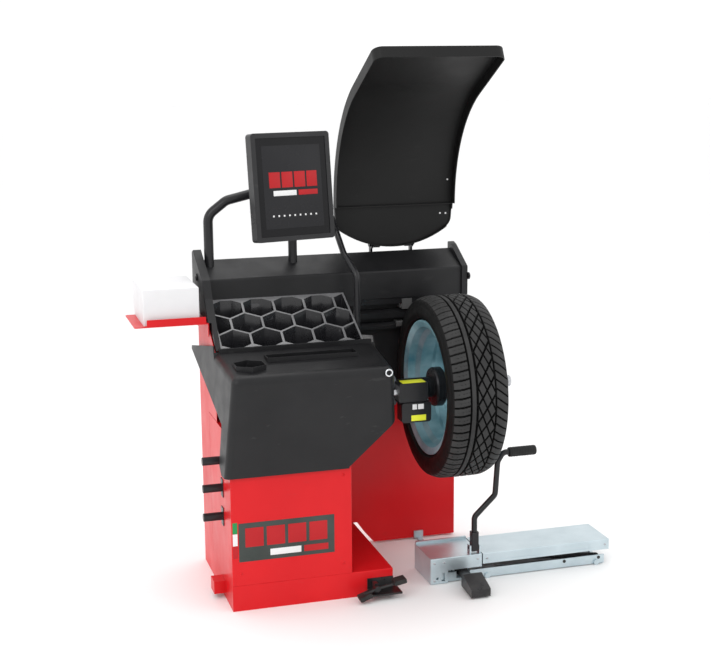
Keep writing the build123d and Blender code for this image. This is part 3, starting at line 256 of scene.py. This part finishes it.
guard_plastic = finish(
    "guard_plastic", (0.006, 0.006, 0.006), (0.010, 0.010, 0.010), rough=(0.42, 0.54),
    patch=2, grain=900, depth=0.00006, wear=0.1, worn=(0.03, 0.03, 0.03), specular=0.22,
)
frame_paint = finish(
    "frame_paint", (0.009, 0.009, 0.010), (0.015, 0.015, 0.017), rough=(0.26, 0.4),
    grain=700, depth=0.00005, coat=0.1, wear=0.2, worn=(0.05, 0.05, 0.05), dust=0.08,
)
screen_surface = finish(
    "screen_surface", (0.008, 0.008, 0.009), (0.012, 0.012, 0.013), rough=(0.2, 0.3),
    patch=2, grain=200, depth=0.000005, specular=0.15,
)
screen_panel = finish(
    "screen_panel", (0.018, 0.018, 0.020), (0.026, 0.026, 0.028), rough=(0.2, 0.3),
    patch=3, grain=200, depth=0.000005, specular=0.15,
)
steel = finish(
    "machined_steel", (0.40, 0.41, 0.43), (0.55, 0.56, 0.58), rough=(0.18, 0.34),
    metallic=1.0, patch=20, grain=300, depth=0.00002, stretch=(14, 1, 1),
)
dark_steel = finish(
    "dark_steel", (0.014, 0.014, 0.016), (0.032, 0.032, 0.035), rough=(0.25, 0.42),
    metallic=0.6, patch=14, grain=500, depth=0.00003, stretch=(9, 1, 1),
)
zinc = spangle("galvanised", (0.48, 0.57, 0.61), (0.60, 0.69, 0.73))
chrome = finish(
    "chrome_plate", (0.72, 0.74, 0.76), (0.82, 0.84, 0.85), rough=(0.06, 0.14),
    metallic=1.0, depth=0.000005,
)
alloy = finish(
    "rim_alloy", (0.05, 0.20, 0.26), (0.46, 0.72, 0.78), rough=(0.34, 0.50),
    metallic=0.35, patch=6, grain=500, depth=0.00002, coat=0.1,
    wear=0.1, worn=(0.6, 0.66, 0.68),
)
rubber = finish(
    "tyre_rubber", (0.022, 0.022, 0.022), (0.036, 0.036, 0.036), rough=(0.5, 0.66),
    patch=12, grain=900, depth=0.00015, specular=0.25,
)
# the darker rubber of the tyre's sidewalls, also used as painted shade in its grooves
dark_rubber = finish(
    "dark_rubber", (0.004, 0.004, 0.004), (0.007, 0.007, 0.007), rough=(0.45, 0.6),
    patch=12, grain=900, depth=0.0001, specular=0.15,
)
soft_rubber = finish(
    "soft_rubber", (0.010, 0.010, 0.010), (0.020, 0.020, 0.020), rough=(0.55, 0.7),
    patch=20, grain=900, depth=0.0001, dust=0.08,
)
red_plastic = finish(
    "red_plastic", (0.40, 0.01, 0.02), (0.50, 0.015, 0.025), rough=(0.25, 0.35),
    depth=0.00002, coat=0.3,
)
white_box = finish(
    "white_card", (0.70, 0.70, 0.71), (0.76, 0.76, 0.77), rough=(0.42, 0.55),
    patch=8, grain=600, depth=0.00003,
)
bronze = finish(
    "bronze", (0.45, 0.30, 0.12), (0.60, 0.42, 0.18), rough=(0.25, 0.4), metallic=1.0,
)
motor_grey = finish(
    "motor_grey", (0.10, 0.11, 0.12), (0.16, 0.17, 0.19), rough=(0.45, 0.6),
    grain=250, depth=0.0002,
)
lamp_grey = finish(
    "lamp_plastic", (0.07, 0.07, 0.07), (0.10, 0.10, 0.10), rough=(0.3, 0.45), grain=800,
)
decal_grey = finish(
    "decal_grey", (0.035, 0.045, 0.040), (0.055, 0.065, 0.060), rough=(0.3, 0.42),
    patch=10, grain=900, depth=0.00001,
)
mark_red = ink("mark_red", (0.40, 0.006, 0.010), (0.48, 0.010, 0.014), rough=(0.3, 0.4))
mark_white = ink("mark_white", (0.72, 0.72, 0.72), (0.8, 0.8, 0.8))
mark_grey = ink("mark_grey", (0.20, 0.20, 0.21), (0.26, 0.26, 0.27))
mark_green = ink("mark_green", (0.01, 0.22, 0.06), (0.015, 0.28, 0.08))
mark_yellow = ink("mark_yellow", (0.74, 0.76, 0.03), (0.84, 0.86, 0.05))

NODE_FINISH = {
    red_paint: ["base_plinth", "front_cabinet", "rear_column", "rear_panel", "side_tray"],
    cover_plastic: ["front_cover"],
    shelf_plastic: ["shelf", "left_cheek", "right_cheek", "backing_panel"],
    tray_plastic: ["weight_tray"],
    guard_plastic: ["guard_hood", "guard_flap"],
    frame_paint: [
        "top_beam", "storage_pegs", "monitor_arch", "monitor_post", "monitor_strut",
        "monitor_bracket", "guard_brackets", "guard_frame", "monitor_yoke", "pedal_bracket",
        "pedal_lever", "lift_arms_near", "lift_arms_far", "lift_handle", "lift_pedal",
        "power_inlet", "power_box", "monitor_housing", "monitor_bezel", "gauge_arm",
        "gauge_head",
    ],
    screen_surface: ["monitor_screen"],
    steel: [
        "spindle_shaft", "spindle_pulley", "encoder_disc", "motor_pulley", "spindle_bearings",
        "gauge_rod",
    ],
    dark_steel: ["hub_flange", "centring_cone", "quick_nut"],
    zinc: ["lift_housing", "lift_platform", "lift_floor_frame", "lift_bracket"],
    chrome: ["lock_ring"],
    alloy: ["wheel_rim"],
    rubber: ["tyre"],
    soft_rubber: ["drive_belt", "pedal_pads", "lift_grip"],
    red_plastic: ["main_switch"],
    white_box: ["accessory_box"],
    bronze: ["gauge_bush"],
    motor_grey: ["spindle_housing", "drive_motor"],
    lamp_grey: ["work_lamp"],
}
for surface, names in NODE_FINISH.items():
    for name in names:
        for place in frame["nodes"][name].material_slots:
            place.material = surface


# ==== Piece helpers =========================================================================
SHARP_ANGLE = radians(35)


def piece(name, mesh, materials, body):
    """An object made of a mesh, smooth between its sharp edges, that rides on a body."""
    made = bpy.data.objects.new(name, mesh)
    bpy.context.scene.collection.objects.link(made)
    for material in materials:
        mesh.materials.append(material)
    mesh.polygons.foreach_set("use_smooth", [True] * len(mesh.polygons))
    mesh.set_sharp_from_angle(angle=SHARP_ANGLE)
    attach(made, body)
    return made


def from_bmesh(name, shape, material, body):
    """A piece made of an edited mesh."""
    bmesh.ops.recalc_face_normals(shape, faces=shape.faces)
    mesh = bpy.data.meshes.new(name)
    shape.to_mesh(mesh)
    shape.free()
    return piece(name, mesh, [material], body)


def along_line(start, direction):
    """The matrix that moves a shape from the Z axis to a line."""
    turn = Vector((0, 0, 1)).rotation_difference(Vector(direction)).to_matrix().to_4x4()
    return Matrix.Translation(Vector(start)) @ turn


def rounded_box(name, low, high, radius, material, body, place=None):
    """A box with rounded edges between two corners, moved by a matrix if one is given."""
    shape = bmesh.new()
    bmesh.ops.create_cube(shape, size=1)
    size = Vector(high) - Vector(low)
    middle = (Vector(high) + Vector(low)) / 2
    for vertex in shape.verts:
        vertex.co = Vector(a * b for a, b in zip(vertex.co, size)) + middle
    bmesh.ops.bevel(
        shape, geom=shape.edges[:], offset=radius, segments=3, profile=0.5, affect="EDGES",
    )
    if place:
        bmesh.ops.transform(shape, matrix=place, verts=shape.verts)
    return from_bmesh(name, shape, material, body)


def turned(name, start, direction, outline, material, body, sides=48):
    """A turned piece: an outline of (distance, radius) points about a line."""
    shape = bmesh.new()
    place = along_line(start, direction)
    rings = []
    for along, radius in outline:
        ring = []
        for step in range(sides):
            angle = 2 * pi * step / sides
            corner = Vector((radius * cos(angle), radius * sin(angle), along))
            ring.append(shape.verts.new(place @ corner))
        rings.append(ring)
    for first, second in zip(rings, rings[1:]):
        for step in range(sides):
            after = (step + 1) % sides
            shape.faces.new((first[step], first[after], second[after], second[step]))
    shape.faces.new(rings[0])
    shape.faces.new(rings[-1])
    return from_bmesh(name, shape, material, body)


def ring_piece(name, centre, direction, radius, thickness, material, body):
    """A plain ring round a line."""
    shape = bmesh.new()
    place = along_line(centre, direction)
    around, across = 64, 12
    points = []
    for step in range(around):
        angle = 2 * pi * step / around
        for part in range(across):
            tilt = 2 * pi * part / across
            reach = radius + thickness * cos(tilt)
            corner = Vector((reach * cos(angle), reach * sin(angle), thickness * sin(tilt)))
            points.append(shape.verts.new(place @ corner))
    for step in range(around):
        after = (step + 1) % around
        for part in range(across):
            next_part = (part + 1) % across
            shape.faces.new((
                points[step * across + part],
                points[after * across + part],
                points[after * across + next_part],
                points[step * across + next_part],
            ))
    return from_bmesh(name, shape, material, body)


def screw(name, place, direction, radius, material, body):
    """A domed screw head that stands on a surface."""
    outline = [
        (-0.0005, radius),
        (radius * 0.25, radius * 0.97),
        (radius * 0.45, radius * 0.75),
        (radius * 0.55, radius * 0.45),
        (radius * 0.30, radius * 0.40),
        (radius * 0.28, radius * 0.05),
    ]
    return turned(name, place, direction, outline, material, body, sides=24)


def screws(name, places, direction, radius, material, body):
    """Screws at a list of places, numbered from 0."""
    for index, place in enumerate(places):
        made = screw(f"{name}_{index}", place, direction, radius, material, body)


# ==== Tyre with its tread ===================================================================
# The tyre's own sizes are in millimetres: x goes across it from its middle, to the right, and
# a radius goes out from its axle.
tyre_low, tyre_high = corners("tyre")
rim_low, rim_high = corners("wheel_rim")
wheel_centre = (tyre_low + tyre_high) / 2
RIM_LIP = 15  # how far the rim's edge stands out past the tyre's bead
BEAD_INSET = 13.5  # how far the tyre's bead sits inside the rim's edge
tyre_radius = (tyre_high.z - tyre_low.z) / 2 / MM
half_width = (tyre_high.x - tyre_low.x) / 2 / MM
bead_radius = (rim_high.z - rim_low.z) / 2 / MM - RIM_LIP
bead_x = (rim_high.x - rim_low.x) / 2 / MM - BEAD_INSET

TREAD_HALF = 94.0
CROWN_HALF = 62.0
CROWN_BOW = 1.2  # how much lower the crown's edges are than its middle
SHOULDER_DROP = 13.0  # how much lower the tread's edges are than its middle
SHOULDER_CURVE = 1.6
TREAD_COLUMNS = 112
ROWS_AROUND = 1080

LEFT_GROOVE, MIDDLE_GROOVE, RIGHT_GROOVE = -40, -19, 47
STRAIGHT_GROOVES = ((LEFT_GROOVE, 2.2), (MIDDLE_GROOVE, 3.0), (RIGHT_GROOVE, 2.4))
STRAIGHT_DEPTH = 8.5
SHOULDER_DEPTH = 7.5
SHOULDER_PITCHES = 66  # slanted grooves round each shoulder
LEFT_BOW = 0.0022  # how quickly the left shoulder's grooves curve, away from LEFT_BOW_X
LEFT_BOW_X = -100
RIGHT_SLOPE = 0.75
SLIT_DEPTH = 2.2
SLIT_END = -84  # how far out the slits go
# crossed grooves: how far round they go for 1 across, the length of that step, half the width
CROSSED_GROOVES = ((1.55, 1.84, 1.9), (-2.3, 2.5, 1.6))
CROSSED_DEPTH = 8.0
CROSSED_PITCHES = 33
RUN_OUT_END = TREAD_HALF + 2  # where a groove's depth would reach 0
RUN_OUT = 5  # over how far it gets shallower, up to there
# cuts at least this deep get the darker rubber: painted shade in the grooves
GROOVE_SHADE_CUT = 1.6  # the tread is light where it is cut less than this


def groove(distance, half, soft=0.9):
    """1 in the middle of a groove and 0 outside it, with short sloping sides."""
    return np.clip((half + soft - np.abs(distance)) / (2 * soft), 0, 1)


def folded(value, pitch):
    """Signed distance to the nearest line of a set that repeats at a pitch."""
    return (value + pitch / 2) % pitch - pitch / 2


def tread_depth(x, along, length):
    """How deep the tread is cut, at x across and along round a tyre of a length round."""
    cut = np.zeros_like(x)

    def carve(where, depth, line):
        nonlocal cut
        cut = np.where(where, np.maximum(cut, depth * line), cut)

    for middle, half in STRAIGHT_GROOVES:
        carve(True, STRAIGHT_DEPTH, groove(x - middle, half))

    # curved grooves on the left shoulder, with a slit between each two
    pitch = length / SHOULDER_PITCHES
    left = x < LEFT_GROOVE
    curved = along + LEFT_BOW * (x - LEFT_BOW_X) ** 2
    carve(left, SHOULDER_DEPTH, groove(folded(curved, pitch), 2.2))
    carve(left & (x > SLIT_END), SLIT_DEPTH, groove(folded(curved + pitch / 2, pitch), 0.4, 0.6))

    # crossed grooves between the middle groove and the right one
    between = (x > MIDDLE_GROOVE) & (x < RIGHT_GROOVE)
    for slope, step, half in CROSSED_GROOVES:
        distance = folded(along + slope * x, length / CROSSED_PITCHES) / step
        carve(between, CROSSED_DEPTH, groove(distance, half))

    # slanted grooves on the right shoulder
    slanted = along - RIGHT_SLOPE * (x - RIGHT_GROOVE)
    carve(x > RIGHT_GROOVE, SHOULDER_DEPTH, groove(folded(slanted, pitch), 2.3))
    return cut


def tyre_outline():
    """The tyre's section as (x, radius) points, and which of them are on the tread."""
    wall = [
        (bead_x, bead_radius + 1.0),
        (bead_x + 5, bead_radius + 12),
        (bead_x + 8, bead_radius + 19),
        (half_width - 5.5, bead_radius + 24),
        (half_width - 3.4, bead_radius + 31),
        (half_width - 2.2, bead_radius + 32.5),
        (half_width - 0.4, bead_radius + 44),
        (half_width - 0.2, bead_radius + 52),
        (half_width - 1.4, bead_radius + 62),
        (half_width - 2.6, bead_radius + 63.5),
        (half_width - 4.6, bead_radius + 72),
        (half_width - 7.0, bead_radius + 79),
    ]
    across = np.linspace(-TREAD_HALF, TREAD_HALF, TREAD_COLUMNS)
    shoulder = np.clip((np.abs(across) - CROWN_HALF) / (TREAD_HALF - CROWN_HALF), 0, 1)
    bow = CROWN_BOW * (np.minimum(np.abs(across), CROWN_HALF) / CROWN_HALF) ** 2
    crown_radius = tyre_radius - bow - (SHOULDER_DROP - CROWN_BOW) * shoulder**SHOULDER_CURVE
    crown = list(zip(across, crown_radius))
    lining = [(54, bead_radius + 1), (78, 262), (54, 292)]

    outline = [(-x, radius) for x, radius in wall] + crown + wall[::-1]
    outline += lining + [(0, 300)] + [(-x, radius) for x, radius in reversed(lining)]
    on_tread = np.zeros(len(outline), bool)
    on_tread[len(wall):len(wall) + len(crown)] = True
    return np.array(outline), on_tread


def closed_grid_faces(rows, columns):
    """The four-cornered faces of a grid of points that closes on itself both ways."""
    row = np.arange(rows)[:, None]
    column = np.arange(columns)[None, :]
    here = row * columns
    after = (row + 1) % rows * columns
    beside = (column + 1) % columns
    faces = np.stack([here + column, here + beside, after + beside, after + column], axis=-1)
    return faces.reshape(-1, 4)


def mesh_of_quads(name, points, faces):
    """A mesh made of arrays of points and of four-cornered faces."""
    mesh = bpy.data.meshes.new(name)
    mesh.vertices.add(len(points))
    mesh.vertices.foreach_set("co", points.ravel())
    mesh.loops.add(faces.size)
    mesh.loops.foreach_set("vertex_index", faces.ravel().astype(np.int32))
    mesh.polygons.add(len(faces))
    mesh.polygons.foreach_set("loop_start", np.arange(0, faces.size, 4, dtype=np.int32))
    mesh.update(calc_edges=True)
    return mesh


def build_tyre():
    """The whole tyre: a cut tread between two sidewalls, and its inner face."""
    outline, on_tread = tyre_outline()
    length = 2 * pi * tyre_radius
    angles = 2 * pi * np.arange(ROWS_AROUND) / ROWS_AROUND
    x, angle = np.meshgrid(outline[:, 0], angles)
    cut = tread_depth(x, angle / (2 * pi) * length, length)
    run_out = np.clip((RUN_OUT_END - np.abs(x)) / RUN_OUT, 0, 1)
    radius = outline[:, 1] - np.where(on_tread, cut * run_out, 0)
    points = np.stack([
        x * MM + wheel_centre.x,
        radius * MM * np.cos(angle) + wheel_centre.y,
        radius * MM * np.sin(angle) + wheel_centre.z,
    ], axis=-1).reshape(-1, 3)
    faces = closed_grid_faces(ROWS_AROUND, len(outline))
    mesh = mesh_of_quads("tyre_with_tread", points, faces)
    # the walls and bottoms of the grooves get the darker rubber as painted shade, and the sidewalls
    # get it too; the tread's top faces are lighter
    unshaded_tread_top = on_tread & (cut < GROOVE_SHADE_CUT)
    material_index = np.where(unshaded_tread_top, 0, 1).astype(np.int32)
    mesh.polygons.foreach_set("material_index", material_index.ravel())
    made = piece("tyre_with_tread", mesh, [rubber, dark_rubber], "spindle")
    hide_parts("tyre")


build_tyre()

# the valve on the wheel, inside the rim's outer edge: (distance, radius) points in metres
VALVE_ANGLE = radians(112)
VALVE_X = 72 * MM
VALVE_RADIUS = 203 * MM
VALVE_LEAN = 0.25
VALVE_OUTLINE = [
    (0, 0.0055), (0.012, 0.005), (0.026, 0.004), (0.0265, 0.0048), (0.036, 0.0048), (0.0375, 0.003),
]
valve_foot = wheel_centre + Vector((
    VALVE_X, VALVE_RADIUS * cos(VALVE_ANGLE), VALVE_RADIUS * sin(VALVE_ANGLE),
))
valve_direction = (1, -VALVE_LEAN * cos(VALVE_ANGLE), -VALVE_LEAN * sin(VALVE_ANGLE))
valve = turned(
    "tyre_valve", valve_foot, valve_direction, VALVE_OUTLINE, soft_rubber, "spindle", sides=20,
)


# ==== Display ===============================================================================
SCREEN_LEAN = radians(6.5)  # how far the display leans back
SCREEN_THICKNESS = 0.003
SHEET = 0.0006  # the thickness of a mark on the display
SHEET_EDGE = 0.0002  # the rounding of a mark's edges
PAGE_LIFT = -0.0001
PRINT_LIFT = 0.0005
tilt_axis = next(joint["axis"] for joint in frame["joints"] if joint["name"] == "monitor_tilt")
screen_low, screen_high = corners("monitor_screen")
screen_right = Vector(tilt_axis).normalized()
level_front = screen_right.cross(Vector((0, 0, 1)))
screen_normal = level_front * cos(SCREEN_LEAN) + Vector((0, 0, 1)) * sin(SCREEN_LEAN)
screen_up = screen_normal.cross(screen_right)
screen_place = Matrix((screen_right, screen_up, screen_normal)).transposed().to_4x4()
screen_place.translation = (screen_low + screen_high) / 2 + screen_normal * (SCREEN_THICKNESS / 2)


def screen_mark(name, x, y, lift, material, slot):
    """A flat mark on the display, between two distances across and up from its middle."""
    low = (x[0], y[0], lift)
    high = (x[1], y[1], lift + SHEET)
    made = rounded_box(name, low, high, SHEET_EDGE, material, "monitor", screen_place)


def build_screen():
    """The page on the display: four blocks, a row of two bars and a row of dots."""
    page = ((-0.112, 0.112), (-0.143, 0.143))
    screen_mark("screen_page", *page, PAGE_LIFT, screen_panel, "screen_glass")
    block_height = (-0.002, 0.052)
    blocks = ((-0.090, -0.048), (-0.042, 0.0), (0.006, 0.048), (0.054, 0.094))
    for index, width in enumerate(blocks):
        name = f"screen_red_{index}"
        screen_mark(name, width, block_height, PRINT_LIFT, mark_red, "red_plastic")
    bar_height = (-0.030, -0.012)
    light_bar, red_bar = (-0.076, 0.012), (0.020, 0.094)
    screen_mark("screen_bar_light", light_bar, bar_height, PRINT_LIFT, mark_white, "white_card")
    screen_mark("screen_bar_red", red_bar, bar_height, PRINT_LIFT, mark_red, "red_plastic")
    dot_height = (-0.102, -0.096)
    dots, first_dot, dot_pitch, dot_width = 9, -0.084, 0.0205, 0.006
    for index in range(dots):
        start = first_dot + dot_pitch * index
        dot = (start, start + dot_width)
        screen_mark(f"screen_dot_{index}", dot, dot_height, PRINT_LIFT, mark_white, "white_card")


build_screen()


# ==== Marks and small fittings on the body ==================================================
cabinet_low = corners("front_cabinet")[0]
MARK_SHEET = 0.0008  # the thickness of a layer of a mark
MARK_SINK = 0.0002  # how far a layer reaches into what is under it


def front_mark(name, x, z, layer, material):
    """A flat mark on the cabinet's front, placed from its left edge and the floor."""
    low = (cabinet_low.x + x[0], cabinet_low.y - MARK_SHEET * (layer + 1), z[0])
    high = (cabinet_low.x + x[1], cabinet_low.y - MARK_SHEET * layer + MARK_SINK, z[1])
    made = rounded_box(name, low, high, SHEET_EDGE, material, "machine")


def build_labels():
    """The label on the front with its plain blocks, and the three patches at its left."""
    front_mark("front_label", (0.024, 0.352), (0.172, 0.306), 0, decal_grey)
    blocks, first_block, block_pitch, block_width = 4, 0.046, 0.073, 0.062
    for index in range(blocks):
        start = first_block + block_pitch * index
        block = (start, start + block_width)
        name = f"front_label_block_{index}"
        front_mark(name, block, (0.222, 0.288), 1, mark_red)
    line_height = (0.186, 0.208)
    front_mark("front_label_line", (0.130, 0.236), line_height, 1, mark_white)
    front_mark("front_label_tail", (0.246, 0.330), line_height, 1, mark_red)
    patches = (
        ("top", (0.272, 0.310), mark_green, "black_plastic"),
        ("middle", (0.230, 0.271), mark_white, "white_card"),
        ("bottom", (0.186, 0.229), mark_red, "red_plastic"),
    )
    for name, height, material, slot in patches:
        front_mark(f"corner_label_{name}", (0.004, 0.020), height, 0, material)


build_labels()

# screws on the cabinet's front and on the column's back: (from the left edge, height) pairs
PANEL_SCREW = 0.0055
CABINET_SCREWS = ((0.03, 0.13), (0.384, 0.13), (0.384, 0.44))
places = [Vector((cabinet_low.x + x, cabinet_low.y, z)) for x, z in CABINET_SCREWS]
screws("cabinet_screw", places, (0, -1, 0), PANEL_SCREW, red_paint, "machine")

column_low, column_high = corners("rear_column")
BACK_SCREWS = [(x, z) for x in (0.025, 0.389) for z in (0.14, 0.40, 0.66, 0.89)]
places = [Vector((column_low.x + x, column_high.y, z)) for x, z in BACK_SCREWS]
screws("back_screw", places, (0, 1, 0), PANEL_SCREW, steel, "machine")

# the knobs on both ends of the shelf, each placed from its end piece's rear edge and top
KNOB_OUTLINE = [
    (-0.0005, 0.013), (0.004, 0.013), (0.0055, 0.0115), (0.006, 0.006), (0.0045, 0.005),
    (0.0045, 0.001),
]
left_low, left_high = corners("left_cheek")
right_high = corners("right_cheek")[1]
left_knob = Vector((left_low.x, left_high.y - 0.098, left_high.z - 0.086))
right_knob = Vector((right_high.x, right_high.y - 0.157, right_high.z - 0.109))
for side, place, x_sign in (("left", left_knob, -1), ("right", right_knob, 1)):
    knob = turned(
        f"shelf_knob_{side}", place, (x_sign, 0, 0), KNOB_OUTLINE, frame_paint, "machine", sides=36,
    )

# a grey block at the end of the slot behind the wheel
backing_low = corners("backing_panel")[0]
slot_block = rounded_box(
    "slot_block",
    (backing_low.x + 0.166, backing_low.y - 0.004, 0.842),
    (backing_low.x + 0.193, backing_low.y + 0.034, 0.862),
    0.0015, lamp_grey, "machine",
)


# ==== Distance gauge ========================================================================
arm_low, arm_high = corners("gauge_arm")
head_low, head_high = corners("gauge_head")
GAUGE_EDGE = 0.0003  # the rounding of a mark's edges
HEAD_MARK_PROUD = 0.0008  # how far a mark stands out of the head's front
HEAD_MARK_SINK = 0.003  # and how far it reaches in


def gauge_mark(name, low, high, material, edge=GAUGE_EDGE):
    """A small fitting on the gauge."""
    made = rounded_box(name, low, high, edge, material, "gauge")


def head_mark(name, x, z, material):
    """A mark on the front of the gauge's head, from two places across it and two heights."""
    low = (x[0], head_low.y - HEAD_MARK_PROUD, head_low.z + z[0])
    high = (x[1], head_low.y + HEAD_MARK_SINK, head_low.z + z[1])
    gauge_mark(name, low, high, material)


def build_gauge_marks():
    """The gauge's yellow lid and stripe, its grey end cap and its two white marks."""
    gauge_mark(
        "gauge_top_lid",
        (arm_low.x + 0.012, arm_low.y + 0.006, arm_high.z - 0.0006),
        (arm_high.x - 0.006, arm_high.y - 0.006, arm_high.z + 0.0006),
        mark_yellow,
    )
    gauge_mark(
        "gauge_end_cap",
        (arm_low.x - 0.0008, arm_low.y + 0.004, arm_low.z + 0.006),
        (arm_low.x + 0.010, arm_high.y - 0.004, arm_high.z - 0.010),
        mark_grey, edge=2 * GAUGE_EDGE,
    )
    stripe = (head_low.x + 0.034, head_high.x - 0.020)
    head_mark("gauge_low_stripe", stripe, (0.006, 0.026), mark_yellow)
    for index, (start, end) in enumerate(((0.038, 0.054), (0.058, 0.078))):
        width = (head_low.x + start, head_low.x + end)
        head_mark(f"gauge_mark_{index}", width, (0.046, 0.064), mark_white)


build_gauge_marks()


# ==== Guard =================================================================================
# small light screws on the inner face, near the right edge: inset from that edge, distance
# in front of the flap's rear face, height
GUARD_SCREW = 0.0035
GUARD_SCREWS = ((0.020, 0.0118, 1.360), (0.046, 0.004, 1.234), (0.024, 0.004, 1.233))
hood_right = corners("guard_hood")[1].x
flap_rear = corners("guard_flap")[1].y
places = [(hood_right - inset, flap_rear - ahead, z) for inset, ahead, z in GUARD_SCREWS]
screws("guard_screw", places, (0, -1, 0), GUARD_SCREW, mark_white, "guard")


# ==== Wheel lift ============================================================================
# screws on the housing's front: (from its left edge, height) pairs
LIFT_SCREW = 0.0042
HOUSING_SCREWS = ((0.014, 0.078), (0.050, 0.078), (0.176, 0.078), (0.014, 0.014))
housing_low = corners("lift_housing")[0]
places = [(housing_low.x + x, housing_low.y, z) for x, z in HOUSING_SCREWS]
screws("lift_screw", places, (0, -1, 0), LIFT_SCREW, steel, "machine")

DECK_SCREWS = (0.016, 0.472)  # from the platform's left edge
DECK_SCREW_DROP = 0.019
deck_low, deck_high = corners("lift_platform")
places = [(deck_low.x + x, deck_low.y, deck_high.z - DECK_SCREW_DROP) for x in DECK_SCREWS]
screws("deck_screw", places, (0, -1, 0), LIFT_SCREW, steel, "platform")

# the ribs round the grip of the handle, each sunk a little into it
GRIP_RINGS = 9
GRIP_RING = 0.0014
GRIP_RING_SINK = 0.0006
FIRST_GRIP_RING, GRIP_RING_PITCH = 0.010, 0.0102
grip_low, grip_high = corners("lift_grip")
grip_middle = (grip_low + grip_high) / 2
grip_radius = (grip_high.z - grip_low.z) / 2 - GRIP_RING_SINK
for index in range(GRIP_RINGS):
    x = grip_low.x + FIRST_GRIP_RING + GRIP_RING_PITCH * index
    centre = Vector((x, grip_middle.y, grip_middle.z))
    made = ring_piece(
        f"grip_ring_{index}", centre, (1, 0, 0), grip_radius, GRIP_RING, soft_rubber, "lift_lever",
    )


# ==== Quick nut =============================================================================
NUT_RINGS = (0.034, 0.040, 0.084, 0.090)  # from the nut's left end
NUT_RING_RADIUS, NUT_RING = 0.034, 0.0012
nut_low, nut_high = corners("quick_nut")
nut_middle = (nut_low + nut_high) / 2
for index, along in enumerate(NUT_RINGS):
    centre = Vector((nut_low.x + along, nut_middle.y, nut_middle.z))
    made = ring_piece(
        f"nut_ring_{index}", centre, (1, 0, 0), NUT_RING_RADIUS, NUT_RING, dark_steel, "nut",
    )


# ==== Floor, light and camera ===============================================================
FLOOR_HALF = 40.0
FLOOR_COLOUR = (0.93, 0.93, 0.93)
FLOOR_ROUGHNESS = 0.7
WORLD_STRENGTH = 1.08


def build_floor():
    """A plain pale floor."""
    material, shader = new_material("floor_pale")
    shader.inputs["Base Color"].default_value = (*FLOOR_COLOUR, 1)
    shader.inputs["Roughness"].default_value = FLOOR_ROUGHNESS
    mesh = bpy.data.meshes.new("floor")
    signs = ((-1, -1), (1, -1), (1, 1), (-1, 1))
    mesh.from_pydata([(x * FLOOR_HALF, y * FLOOR_HALF, 0) for x, y in signs], [], [(0, 1, 2, 3)])
    mesh.materials.append(material)
    floor = bpy.data.objects.new("floor", mesh)
    bpy.context.scene.collection.objects.link(floor)


def build_world():
    """An even white light from all round."""
    world = bpy.data.worlds.new("studio")
    bpy.context.scene.world = world
    world.use_nodes = True
    background = world.node_tree.nodes["Background"]
    background.inputs["Color"].default_value = (1, 1, 1, 1)
    background.inputs["Strength"].default_value = WORLD_STRENGTH
    bpy.context.scene.view_settings.view_transform = "Standard"


def softbox(name, place, target, size, power):
    """A large soft light that looks at a point."""
    light = bpy.data.lights.new(name, "AREA")
    light.shape = "RECTANGLE"
    light.size, light.size_y = size
    light.energy = power
    made = bpy.data.objects.new(name, light)
    made.location = place
    made.rotation_euler = (Vector(target) - Vector(place)).to_track_quat("-Z", "Y").to_euler()
    bpy.context.scene.collection.objects.link(made)


build_floor()
build_world()
softbox("key", (-2.2, -3.0, 3.4), (0.2, 0.0, 0.8), (2.0, 2.0), 40)
softbox("side", (-3.0, 0.2, 1.4), (0.0, 0.2, 0.6), (1.6, 2.6), 8)
softbox("fill", (3.2, -2.6, 2.4), (0.4, 0.0, 0.8), (2.4, 2.0), 10)
softbox("top", (0.2, 0.6, 4.2), (0.3, 0.0, 0.8), (3.0, 3.0), 40)

# the camera's place and its yaw to the right, pitch down and roll, in radians
CAMERA_PLACE = Vector((-1.1031, -4.5835, 1.8529))
CAMERA_YAW = 0.2946
CAMERA_PITCH = 0.1977
CAMERA_ROLL = -0.0062
SENSOR_WIDTH = 36.0
LENS = 70.68
SHIFT_X, SHIFT_Y = -0.0229, -0.0149


def build_camera():
    """The camera at the photograph's viewing angle."""
    camera = bpy.data.objects.new("camera", bpy.data.cameras.new("camera"))
    camera.data.sensor_width = SENSOR_WIDTH
    camera.data.lens = LENS
    camera.data.shift_x = SHIFT_X
    camera.data.shift_y = SHIFT_Y
    level_right = Vector((cos(CAMERA_YAW), -sin(CAMERA_YAW), 0))
    ahead = Vector((
        sin(CAMERA_YAW) * cos(CAMERA_PITCH),
        cos(CAMERA_YAW) * cos(CAMERA_PITCH),
        -sin(CAMERA_PITCH),
    ))
    level_up = level_right.cross(ahead)
    right = level_right * cos(CAMERA_ROLL) + level_up * sin(CAMERA_ROLL)
    up = level_up * cos(CAMERA_ROLL) - level_right * sin(CAMERA_ROLL)
    turn = Matrix((right, up, -ahead)).transposed().to_4x4()
    camera.matrix_world = Matrix.Translation(CAMERA_PLACE) @ turn
    bpy.context.scene.collection.objects.link(camera)
    bpy.context.scene.camera = camera


build_camera()
